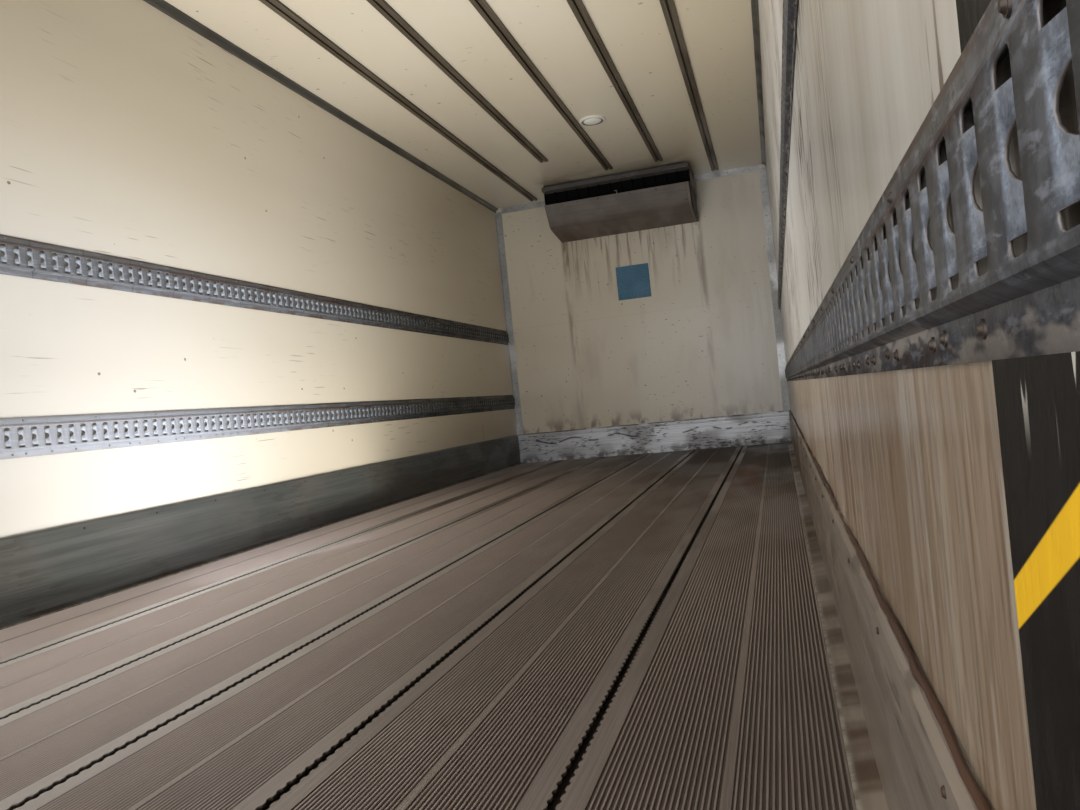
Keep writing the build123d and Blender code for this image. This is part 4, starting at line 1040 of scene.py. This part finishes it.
class LOADBODY_OT_stage(PieceOperator):
    """Adds the camera, the lamps, the sky and the pale floor"""

    bl_idname = "loadbody.stage"
    bl_label = "Stage"

    def make(self):
        self.camera()
        self.lamps()
        self.world()
        bm = bmesh.new()
        bmesh.ops.create_grid(bm, x_segments=1, y_segments=1, size=60)
        floor = linked("studio_floor", mesh_of(bm, "studio_floor"))
        finish = plastic("studio_floor", (0.86, 0.86, 0.85), (0.82, 0.82, 0.81), (0.6, 0.8), (3, 3, 3))
        floor.data.materials.append(finish)
        keep_lamp_off(floor)

    def camera(self):
        forward = Vector((
            -math.sin(CAMERA_YAW) * math.cos(CAMERA_PITCH),
            math.cos(CAMERA_YAW) * math.cos(CAMERA_PITCH),
            math.sin(CAMERA_PITCH),
        ))
        level = Vector((math.cos(CAMERA_YAW), math.sin(CAMERA_YAW), 0))
        upright = level.cross(forward)
        right = level * math.cos(CAMERA_ROLL) + upright * math.sin(CAMERA_ROLL)
        up = upright * math.cos(CAMERA_ROLL) - level * math.sin(CAMERA_ROLL)
        data = bpy.data.cameras.new("camera")
        data.sensor_width = SENSOR
        data.lens = FOCAL_PIXELS / PICTURE_PIXELS * SENSOR
        data.clip_start = 0.01
        camera = linked("camera", data)
        matrix = Matrix((right, up, -forward)).transposed().to_4x4()
        matrix.translation = Vector(CAMERA_PLACE)
        camera.matrix_world = matrix
        bpy.context.scene.camera = camera

    def area(self, name, place, aim, size, power, tint=(1, 1, 1), mirrored=False):
        """A lamp at a place that faces another; the camera doesn't see it."""
        data = bpy.data.lights.new(name, "AREA")
        data.shape = "RECTANGLE"
        data.size, data.size_y = size
        data.energy = power
        data.color = tint
        lamp = linked(name, data)
        lamp.location = place
        lamp.rotation_euler = (Vector(aim) - Vector(place)).to_track_quat("-Z", "Y").to_euler()
        lamp.visible_camera = False
        lamp.visible_glossy = mirrored

    def lamps(self):
        middle = (Z_LOAD + Z_CEILING) / 2
        opening = (0, Y_REAR - 0.09, middle - 0.17)
        bounce = (-0.163, -1.08, Z_LOAD + 0.234)
        fill = (-0.3, -0.6, Z_LOAD + 0.06)
        glow = (-1.012, -1.285, Z_LOAD + 0.4)
        self.area("opening", opening, (0, 0, middle - 0.9), (2.42, 2.02), 38, (0.97, 1.0, 1.03), True)
        self.area("bounce", bounce, (-0.693, -0.93, 1.984), (0.9, 1.28), 13.9, (0.93, 1.0, 1.18))
        self.area("fill", fill, (-0.3, -0.6, 3), (1.6, 2.6), 39, (1.03, 1.0, 0.91))
        self.area("glow", glow, (0.408, -0.885, Z_LOAD + 0.1), (1.6, 0.5), 4, (0.95, 1.0, 1.14))
        self.area("studio_left", (-9, -7, 9), (0, 0, 1), (8, 8), 680)
        self.area("studio_right", (9, 5, 8), (0, 0, 1), (8, 8), 520)

    def world(self):
        world = bpy.data.worlds.new("studio_sky")
        world.use_nodes = True
        sky = world.node_tree.nodes["Background"].inputs
        sky["Color"].default_value = (0.86, 0.89, 0.93, 1)
        sky["Strength"].default_value = 0.7
        bpy.context.scene.world = world


class LOADBODY_OT_lining(PieceOperator):
    """Finishes the walls, the ceiling, the floor panel and the wear linings"""

    bl_idname = "loadbody.lining"
    bl_label = "Lining"

    def make(self):
        paint(lining_left(), "side_wall_left")
        paint(lining_right(), "side_wall_right")
        paint(lining_front(), "front_wall")
        paint(lining_roof(), "roof_panel")
        paint(plastic("floor_core", (0.34, 0.31, 0.28), (0.22, 0.20, 0.18), (0.6, 0.8)), "floor_panel")
        paint(wear_finish(), "wear_linings")


class LOADBODY_OT_floor(PieceOperator):
    """Makes the ribbed planks and the scalloped tracks of the floor"""

    bl_idname = "loadbody.floor"
    bl_label = "Floor"

    def make(self):
        s = sizes()
        planks = plank_mesh()
        made_piece(planks, "planks_ribbed", floor_ribbed(), replaces=("floor_planks",))
        bm = bmesh.new()
        half, cavity = TRACK_WIDTH / 2, 0.023
        floor, z_lip = Z_PLANK + s.track_lip, Z_LOAD - s.track_lip
        for centre in track_centres():
            channel = [(-half, Z_PLANK), (half, Z_PLANK), (half, z_lip), (cavity, z_lip), (cavity, floor),
                       (-cavity, floor), (-cavity, z_lip), (-half, z_lip)]
            prism(bm, [(centre + x, z) for x, z in channel], Y_REAR, Y_KICK)
            scalloped_track(bm, centre, Z_LOAD, -s.track_lip, TRACK_WIDTH, Y_REAR, Y_KICK, 4)
        face = (Z_LOAD - 0.003, Z_LOAD - 0.0005)
        finish = track_finish("floor_track", colours().track, (0.33, 0.295, 0.27), face, pale=0.62)
        made_piece(bm, "tracks_scalloped", finish, replaces=("floor_tracks",))


class LOADBODY_OT_ceiling(PieceOperator):
    """Makes the scalloped channels under the ceiling and finishes the covings and the lamp"""

    bl_idname = "loadbody.ceiling"
    bl_label = "Ceiling"

    def make(self):
        fronts = (0.120, 1.217, 0.695, 0.679, 0.100)
        low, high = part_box("ceiling_rails")
        width = 0.060
        wall = 0.0025
        half = width / 2
        foot = low.z + wall
        bm = bmesh.new()
        for centre, short in zip(track_centres(), fronts):
            y_end = Y_FRONT - short
            channel = [(-half, foot), (-half, high.z), (half, high.z), (half, foot),
                       (half - wall, foot), (half - wall, high.z - wall), (-half + wall, high.z - wall),
                       (-half + wall, foot)]
            prism(bm, [(centre + x, z) for x, z in channel], Y_REAR, y_end)
            scalloped_track(bm, centre, low.z, wall, width, Y_REAR, y_end, 3, 0.75)
        face = (low.z + 0.002, low.z + 0.0006)
        finish = track_finish("ceiling_track", (0.42, 0.38, 0.32), (0.24, 0.2, 0.16), face)
        made_piece(bm, "ceiling_tracks", finish, replaces=("ceiling_rails",))
        grain = (200, 5, 200)
        coving = plain_metal("coving_metal", (0.45, 0.44, 0.42), (0.3, 0.29, 0.27), (0.3, 0.5), 0.7, grain)
        paint(coving, "ceiling_covings")
        low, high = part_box("ceiling_lamp")
        centre = ((low.x + high.x) / 2, (low.y + high.y) / 2, high.z)
        bm = bmesh.new()
        rim = [(0.090, 0.0), (0.090, 0.005), (0.087, 0.010), (0.081, 0.013), (0.073, 0.013), (0.069, 0.009)]
        dome = [(0.060, 0.009), (0.057, 0.013), (0.045, 0.0185), (0.025, 0.0212), (0.0, 0.022)]
        spun(bm, rim + dome, centre, (0, 0, -1), 40)
        materials = [
            plastic("lamp_rim", (0.86, 0.85, 0.81), (0.70, 0.66, 0.58)),
            plastic("lamp_ring", (0.42, 0.41, 0.39), (0.30, 0.28, 0.25)),
            plastic("lamp_lens", (0.90, 0.90, 0.87), (0.76, 0.74, 0.68), (0.15, 0.26)),
        ]
        for face in bm.faces:
            place = face.calc_center_median()
            far = math.hypot(place.x - centre[0], place.y - centre[1])
            face.material_index = 0 if far > 0.0725 else 1 if far > 0.059 else 2
        replaced = ("ceiling_lamp",)
        made_piece(bm, "ceiling_lamp_round", materials, replaces=replaced, smooth=50)


class LOADBODY_OT_rails(PieceOperator):
    """Makes the four cargo rails with their pressed tongues"""

    bl_idname = "loadbody.rails"
    bl_label = "Cargo rails"

    def make(self):
        rim = plain_metal("rail_rim", (0.42, 0.40, 0.39), (0.26, 0.20, 0.16), (0.4, 0.6), 0.3)
        materials = [rail_zinc(), rim]
        for level in ("lower", "upper"):
            for sign in (-1, 1):
                cargo_rail(level, sign, materials)


class LOADBODY_OT_trims(PieceOperator):
    """Finishes the kick plates and the trims"""

    bl_idname = "loadbody.trims"
    bl_label = "Kick plates and trims"

    def make(self):
        for node, base, streak, scuffed in (
            ("kick_plate_left", colours().kick, (0.27, 0.28, 0.275), 0.35),
            ("kick_plate_right", (0.55, 0.5, 0.45), (0.4, 0.355, 0.31), 0.5),
        ):
            paint(kick_finish(node, base, streak, scuffed), node)
        paint(front_kick_finish(), "kick_plate_front")
        paint(trim_satin(), "front_corner_trims", "front_top_trim")
        paint(trim_satin(), "roof_edges", "base_profiles", "nose_corners")


class LOADBODY_OT_fasteners(PieceOperator):
    """Adds the rails' screws, the trims' rivets and the beads of sealant on the kick plates"""

    bl_idname = "loadbody.fasteners"
    bl_label = "Fasteners and sealant"

    def make(self):
        random.seed(sizes().seed)
        self.rail_screws()
        self.trim_rivets()
        self.beads()

    def rail_screws(self):
        seen = (-3.442, -3.357, -3.323, -3.174)
        grain = (90, 90, 90)
        dirt_and_reflection = plain_metal("screw_zinc", (0.3, 0.27, 0.25), (0.2, 0.13, 0.09), (0.4, 0.6), 0.7, grain)
        face = X_IN - 0.0028
        rim = 0.0014
        for side, sign, radius, finish in (("left", -1, 0.0036, gear_zinc()), ("right", 1, 0.0048, dirt_and_reflection)):
            out = (-sign, 0, 0)
            bm = bmesh.new()
            for level in ("lower", "upper"):
                low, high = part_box(f"cargo_rail_{level}_{side}")
                nearest = seen if level == "lower" and sign > 0 else ()
                for z, loose in ((low.z + 0.012, True), (high.z - 0.012, False)):
                    places = list(nearest) if loose else []
                    y = places[-1] + 0.05 if places else low.y + 0.06
                    while y < high.y - 0.03:
                        places.append(y)
                        y += random.choice((0.05, 0.10, 0.10, 0.15)) if loose else 0.30
                    for y in places:
                        z_head = z + random.uniform(-0.002, 0.002)
                        disc(bm, (sign * face, y, z_head), out, radius, rim, radius * 0.9, 10)
                        crown = (sign * (face - rim), y, z_head)
                        disc(bm, crown, out, radius * 0.72, 0.0018, radius * 0.4, 10)
            made_piece(bm, f"rail_screws_{side}", finish, smooth=35)

    def trim_rivets(self):
        bm = bmesh.new()
        face = Y_FRONT - 0.003
        for sign in (-1, 1):
            for z in steps(Z_KICK + 0.08, Z_CEILING - 0.06, 0.2):
                disc(bm, (sign * (X_IN - 0.04), face, z), (0, -1, 0), *TRIM_RIVET, 10)
        for x in steps(-X_IN + 0.1, X_IN - 0.08, 0.17):
            if abs(x) >= CLEAR_OF_EVAPORATOR:
                disc(bm, (x, face, Z_CEILING - 0.025), (0, -1, 0), *TRIM_RIVET, 10)
        for x in steps(-X_IN + 0.12, X_IN - 0.08, 0.3):
            disc(bm, (x, Y_KICK, Z_KICK - 0.03), (0, -1, 0), *KICK_RIVET, 10)
            disc(bm, (x + 0.02, Y_KICK, Z_LOAD + 0.05), (0, -1, 0), *KICK_RIVET, 10)
        for sign in (-1, 1):
            for y in steps(Y_REAR + 0.25, Y_KICK - 0.1, 0.35):
                disc(bm, (sign * (X_IN - 0.015), y, Z_KICK - 0.02), (-sign, 0, 0), *KICK_RIVET, 8)
        made_piece(bm, "trim_rivets", steel_dark(), smooth=40)

    def beads(self):
        for side, sign, radius, wave, *tints in (
            ("left", -1, 0.0024, 0.0006, (0.52, 0.5, 0.46), (0.34, 0.31, 0.28)),
            ("right", 1, 0.0034, 0.0024, (0.25, 0.15, 0.1), (0.13, 0.08, 0.06)),
        ):
            points, radii = [], []
            lift = 0.0
            for y in steps(Y_REAR + 0.02, Y_KICK, 0.035):
                lift = lift * 0.8 + random.uniform(-wave, wave)
                x = X_IN - 0.005 + random.uniform(-wave, wave) * 0.5
                points.append((sign * x, y, Z_KICK + 0.001 + lift))
                radii.append(radius * random.uniform(0.8, 1.25))
            bm = bmesh.new()
            bead(bm, points, radii)
            made_piece(bm, f"sealant_{side}", plastic(f"sealant_{side}", *tints, (0.45, 0.65)), smooth=60)


class LOADBODY_OT_evaporator(PieceOperator):
    """Finishes the evaporator and adds its screws, its tab and the plate on the front wall"""

    bl_idname = "loadbody.evaporator"
    bl_label = "Evaporator"

    def make(self):
        paint(evaporator_finish(), "evaporator_housing")
        black = plastic("outlet_black", (0.03, 0.03, 0.03), (0.06, 0.055, 0.05), (0.7, 0.9), specular=0.1)
        paint(black, "evaporator_grille")
        top = Vector((0, Y_FRONT - 0.520, Z_CEILING - 0.170))
        knee = Vector((0, Y_FRONT - 0.390, Z_CEILING - 0.350))
        down = (knee - top).normalized()
        outward = Vector((0, down.z, -down.y))
        bm = bmesh.new()
        screws = ((-0.47, 0.022), (-0.33, 0.02), (-0.15, 0.018), (0.12, 0.02), (0.34, 0.022), (0.57, 0.15))
        for x, drop in screws:
            disc(bm, Vector((x, 0, 0)) + top + down * drop, outward, 0.005, 0.003, 0.003, 10)
        made_piece(bm, "evaporator_screws", steel_dark(), smooth=40)
        bm = bmesh.new()
        block(bm, (0.010, top.y + 0.004, top.z - 0.001), (0.016, top.y + 0.012, top.z + 0.030))
        block(bm, (-0.006, top.y + 0.004, top.z + 0.024), (0.010, top.y + 0.012, top.z + 0.030))
        bevelled(bm, 0.0008)
        made_piece(bm, "evaporator_tab", plain_metal("tab_metal", (0.55, 0.54, 0.52), (0.36, 0.34, 0.32)))
        bm = bmesh.new()
        block(bm, (-0.150, Y_FRONT - 0.002, Z_LOAD + 1.39), (0.147, Y_FRONT, Z_LOAD + 1.69))
        bevelled(bm, 0.0006)
        made_piece(bm, "wall_plate", plate_finish())


class LOADBODY_OT_outside(PieceOperator):
    """Finishes the rear frame, the doors, their holders, the unit, its fans, the lamps and the subframe"""

    bl_idname = "loadbody.outside"
    bl_label = "Outside"

    def make(self):
        grain = (6, 6, 220)
        steel = plain_metal("frame_steel", (0.7, 0.71, 0.72), (0.52, 0.52, 0.52), (0.28, 0.45), 0.9, grain)
        paint(steel, "rear_posts", "rear_header", "rear_sill")
        paint(rubber_finish("black_rubber"), "buffers", "door_seal_left", "door_seal_right")
        paint(door_finish(), "door_left", "door_right")
        straps, gear = ("hinge_straps_left", "hinge_straps_right"), ("lock_gear_left", "lock_gear_right")
        paint(gear_zinc(), *straps, *gear, "hinge_lugs")
        for kind in ("door", "door_seal", "hinge_straps", "lock_gear"):
            keep_lamp_off(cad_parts[kind + "_left"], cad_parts[kind + "_right"])
        paint(black_metal("black_paint"), "door_holders", "fan_guards")
        paint(unit_finish(), "unit_housing")
        paint(plastic("fan_black", (0.10, 0.10, 0.10), (0.18, 0.17, 0.16)), "fan_left", "fan_right")
        paint(lens("amber_lens", (0.90, 0.45, 0.06)), "side_lamps")
        paint(lens("white_lens", (0.88, 0.88, 0.88)), "front_lamps")
        paint(lens("red_lens", (0.70, 0.05, 0.05)), "rear_lamps")
        dark = plain_metal("subframe_paint", (0.16, 0.16, 0.17), (0.26, 0.23, 0.20), (0.45, 0.7), 0.2)
        paint(dark, "bearers", "cross_members", "mounting_brackets")


class LOADBODY_OT_doors(PieceOperator):
    """Adds edge profiles, bolts, catches and bearing plates to the doors and their hinges"""

    bl_idname = "loadbody.doors"
    bl_label = "Doors"

    def make(self):
        lugs = bmesh.new()
        for side, sign in SIDES:
            self.edges(side, sign)
            self.gear(side, sign)
            self.lug_bolts(lugs, sign)
        made_piece(lugs, "lug_bolts", gear_zinc(), smooth=35)

    def faces(self, sign):
        """Outer face of an open door: its place across the body and the way it looks."""
        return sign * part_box("door_right")[0].x, (-sign, 0, 0)

    def edges(self, side, sign):
        low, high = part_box(f"door_{side}")
        face, out = self.faces(sign)
        depth, width = 0.002, 0.038
        bm = bmesh.new()
        for z_low, z_high in ((low.z, low.z + width), (high.z - width, high.z)):
            block(bm, (face - sign * depth, low.y, z_low), (face, high.y, z_high))
        for y_low, y_high in ((low.y, low.y + width), (high.y - width, high.y)):
            block(bm, (face - sign * depth, y_low, low.z + width), (face, y_high, high.z - width))
        count = 11
        for number in range(count):
            z = low.z + 0.06 + number * (high.z - low.z - 0.12) / (count - 1)
            for y in (low.y + width / 2, high.y - width / 2):
                disc(bm, (face - sign * depth, y, z), out, 0.004, 0.0016, 0.0026, 8)
        keep_lamp_off(made_piece(bm, f"door_edges_{side}", trim_satin(), body=f"door_{side}", smooth=35))

    def gear(self, side, sign):
        low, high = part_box(f"lock_gear_{side}")
        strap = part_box(f"hinge_straps_{side}")
        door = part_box(f"door_{side}")
        face, out = self.faces(sign)
        strap_face = face - sign * 0.008
        bm = bmesh.new()
        for z in strap_heights():
            for y in (strap[1].y - 0.025, strap[1].y - 0.085, strap[1].y - 0.145):
                for rise in (-0.015, 0.015):
                    disc(bm, (strap_face, y, z + rise), out, 0.0075, 0.004, 0.006, 10)
        hinge_rod, free_rod = low.y + 0.030, high.y - 0.030
        for y in (hinge_rod, free_rod):
            for height in (0.260, 1.150, 2.050):
                z = Z_LOAD + height
                block(bm, (face - sign * 0.003, y - 0.050, z - 0.030), (face, y + 0.050, z + 0.030))
                for shift in (-0.040, 0.040):
                    disc(bm, (face - sign * 0.003, y + shift, z), out, 0.007, 0.004, 0.0055, 10)
            for z in (door[0].z + 0.050, door[1].z - 0.050):
                x = face - sign * 0.025
                rod(bm, (x, y, z - 0.018), (x, y, z + 0.018), 0.0175, 16)
                block(bm, (face - sign * 0.030, y, z - 0.012), (face - sign * 0.020, y + 0.034, z + 0.012))
        for y_rod, height, way in ((hinge_rod, 1.000, 1), (free_rod, 1.120, -1)):
            z = Z_LOAD + height
            y_end = y_rod + way * 0.420
            centre = face - sign * 0.025
            rod(bm, (centre, y_end - way * 0.160, z), (centre, y_end - way * 0.004, z), 0.0155, 16)
            y_catch = y_rod + way * 0.210
            block(bm, (face - sign * 0.003, y_catch - 0.030, z - 0.035), (face, y_catch + 0.030, z + 0.035))
            for z_low, z_high in ((z - 0.0175, z - 0.0140), (z + 0.0140, z + 0.0175)):
                low_corner = (face - sign * 0.030, y_catch - 0.015, z_low)
                block(bm, low_corner, (face - sign * 0.003, y_catch + 0.015, z_high))
            for rise in (-0.026, 0.026):
                disc(bm, (face - sign * 0.003, y_catch, z + rise), out, 0.006, 0.0035, 0.0045, 10)
        keep_lamp_off(made_piece(bm, f"door_fittings_{side}", gear_zinc(), body=f"door_{side}", smooth=35))

    def lug_bolts(self, bm, sign):
        y_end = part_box("hinge_lugs")[1].y
        for z in strap_heights():
            for y in (y_end - 0.025, y_end - 0.095):
                for rise in (-0.038, 0.038):
                    disc(bm, (sign * (X_OUT + 0.010), y, z + rise), (sign, 0, 0), 0.008, 0.005, 0.0065, 10)


class LOADBODY_OT_profiles(PieceOperator):
    """Adds rivets to the outer profiles and bezels to the lamps"""

    bl_idname = "loadbody.profiles"
    bl_label = "Profiles and lamps"

    def make(self):
        self.rivets()
        self.bezels()

    def rivets(self):
        bm = bmesh.new()
        edge, base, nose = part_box("roof_edges"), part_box("base_profiles"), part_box("nose_corners")
        x_base = base[1].x
        rows = ((edge[1].x, edge[0].z + 0.02), (x_base, base[1].z - 0.022), (x_base, base[0].z + 0.03))
        for sign in (-1, 1):
            for x, z in rows:
                for y in steps(Y_REAR + 0.06, Y_FRONT + 0.05, 0.16):
                    disc(bm, (sign * x, y, z), (sign, 0, 0), *PROFILE_RIVET, 8)
            for z in steps(nose[0].z + 0.06, nose[1].z - 0.03, 0.16):
                disc(bm, (sign * nose[1].x, nose[0].y + 0.02, z), (sign, 0, 0), *PROFILE_RIVET, 8)
                disc(bm, (sign * (nose[1].x - 0.058), nose[1].y, z), (0, 1, 0), *PROFILE_RIVET, 8)
        made_piece(bm, "profile_rivets", trim_satin(), smooth=35)

    def bezels(self):
        bm = bmesh.new()
        low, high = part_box("side_lamps")
        lamp, rim, depth = 0.1, 0.007, 0.008
        step = (high.y - low.y - lamp) / 3
        for sign in (-1, 1):
            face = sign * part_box("base_profiles")[1].x
            for number in range(4):
                y = low.y + number * step
                block(bm, (face, y - rim, low.z - rim), (face + sign * depth, y + lamp + rim, high.z + rim))
            for lamps, way in (("front_lamps", 1), ("rear_lamps", -1)):
                lamp_low, lamp_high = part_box(lamps)
                y = lamp_low.y if way > 0 else lamp_high.y
                x = sorted((sign * (lamp_high.x + rim), sign * (lamp_high.x - lamp - rim)))
                block(bm, (x[0], y, lamp_low.z - rim), (x[1], y + way * depth, lamp_high.z + rim))
        bevelled(bm, 0.0015)
        made_piece(bm, "lamp_bezels", rubber_finish("bezel_rubber"), smooth=40)


class LOADBODY_OT_unit(PieceOperator):
    """Makes the round-wire fan guards and adds hub caps to the fans, louvres and screws to the unit"""

    bl_idname = "loadbody.unit"
    bl_label = "Refrigeration unit"

    def make(self):
        low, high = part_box("fan_guards")
        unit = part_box("unit_housing")
        outer = (high.z - low.z) / 2
        wire = 0.0030
        y = high.y - wire - 0.0005
        bm = bmesh.new()
        for sign in (-1, 1):
            centre = Vector((sign * (high.x - outer), y, (low.z + high.z) / 2))
            radius = outer - wire
            while radius > 0.03:
                self.ring(bm, centre, radius, wire)
                radius -= 0.028
            for number in range(8):
                angle = (number + 0.5) * math.pi / 4
                way = Vector((math.cos(angle), 0, math.sin(angle)))
                behind = centre - Vector((0, 0.004, 0))
                rod(bm, behind + way * 0.02, behind + way * (outer - wire), wire, 8)
            disc(bm, centre - Vector((0, 0.003, 0)), (0, 1, 0), 0.034, 0.005, 0.03, 24)
        paint_black = black_metal("guard_paint")
        made_piece(bm, "guards_round", paint_black, replaces=("fan_guards",), smooth=45)
        for side, sign in SIDES:
            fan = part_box(f"fan_{side}")
            bm = bmesh.new()
            middle = ((fan[0].x + fan[1].x) / 2, fan[1].y, (low.z + high.z) / 2)
            disc(bm, middle, (0, 1, 0), 0.036, 0.006, 0.028, 24)
            black = plastic(f"hub_cap_{side}", (0.16, 0.16, 0.16), (0.26, 0.25, 0.24))
            made_piece(bm, f"hub_cap_{side}", black, body=f"fan_{side}", smooth=40)
        bm = bmesh.new()
        for sign in (-1, 1):
            x = sign * unit[1].x
            for number in range(9):
                z = unit[0].z + 0.16 + number * 0.030
                x_lip = x + sign * 0.007
                slat = [(x, z), (x_lip, z + 0.002), (x_lip, z + 0.005), (x, z + 0.022)]
                prism(bm, slat, unit[0].y + 0.1, unit[0].y + 0.34)
            for z in (unit[0].z + 0.06, unit[1].z - 0.17):
                for y in (unit[0].y + 0.05, unit[0].y + 0.20, unit[0].y + 0.38):
                    disc(bm, (x, y, z), (sign, 0, 0), 0.007, 0.003, 0.005, 10)
        white = plastic("louvre_paint", (0.8, 0.81, 0.81), (0.6, 0.58, 0.54))
        made_piece(bm, "unit_louvres", white, smooth=35)

    def ring(self, bm, centre, radius, wire):
        """A ring of round wire that faces forwards."""
        matrix = Matrix.Translation(centre + Vector((radius, 0, 0)))
        made = bmesh.ops.create_circle(bm, cap_ends=False, segments=8, radius=wire, matrix=matrix)["verts"]
        edges = list({edge for vertex in made for edge in vertex.link_edges})
        whole(bm, made + edges, centre, (0, 1, 0), 40)


class LOADBODY_PT_panel(bpy.types.Panel):
    """Lists the sizes, the colours and the pieces of the load body"""

    bl_idname = "LOADBODY_PT_panel"
    bl_label = "Load body"
    bl_space_type = "VIEW_3D"
    bl_region_type = "UI"
    bl_category = "Load body"

    def draw(self, context):
        column = self.layout.column()
        for operator in OPERATORS:
            column.operator(operator.bl_idname)
        for group in (context.scene.load_body_sizes, context.scene.load_body_colours):
            for name in group.__annotations__:
                column.prop(group, name)


OPERATORS = (
    LOADBODY_OT_stage,
    LOADBODY_OT_lining,
    LOADBODY_OT_floor,
    LOADBODY_OT_ceiling,
    LOADBODY_OT_rails,
    LOADBODY_OT_trims,
    LOADBODY_OT_fasteners,
    LOADBODY_OT_evaporator,
    LOADBODY_OT_outside,
    LOADBODY_OT_doors,
    LOADBODY_OT_profiles,
    LOADBODY_OT_unit,
)
CLASSES = (LoadBodySizes, LoadBodyColours, *OPERATORS, LOADBODY_PT_panel)


def register():
    for one in CLASSES:
        bpy.utils.register_class(one)
    bpy.types.Scene.load_body_sizes = PointerProperty(type=LoadBodySizes)
    bpy.types.Scene.load_body_colours = PointerProperty(type=LoadBodyColours)


def unregister():
    del bpy.types.Scene.load_body_colours
    del bpy.types.Scene.load_body_sizes
    for one in reversed(CLASSES):
        bpy.utils.unregister_class(one)


def main():
    register()
    bpy.context.scene.view_settings.view_transform = "Standard"
    for operator in OPERATORS:
        group, action = operator.bl_idname.split(".")
        getattr(getattr(bpy.ops, group), action)()


if __name__ == "__main__":
    main()
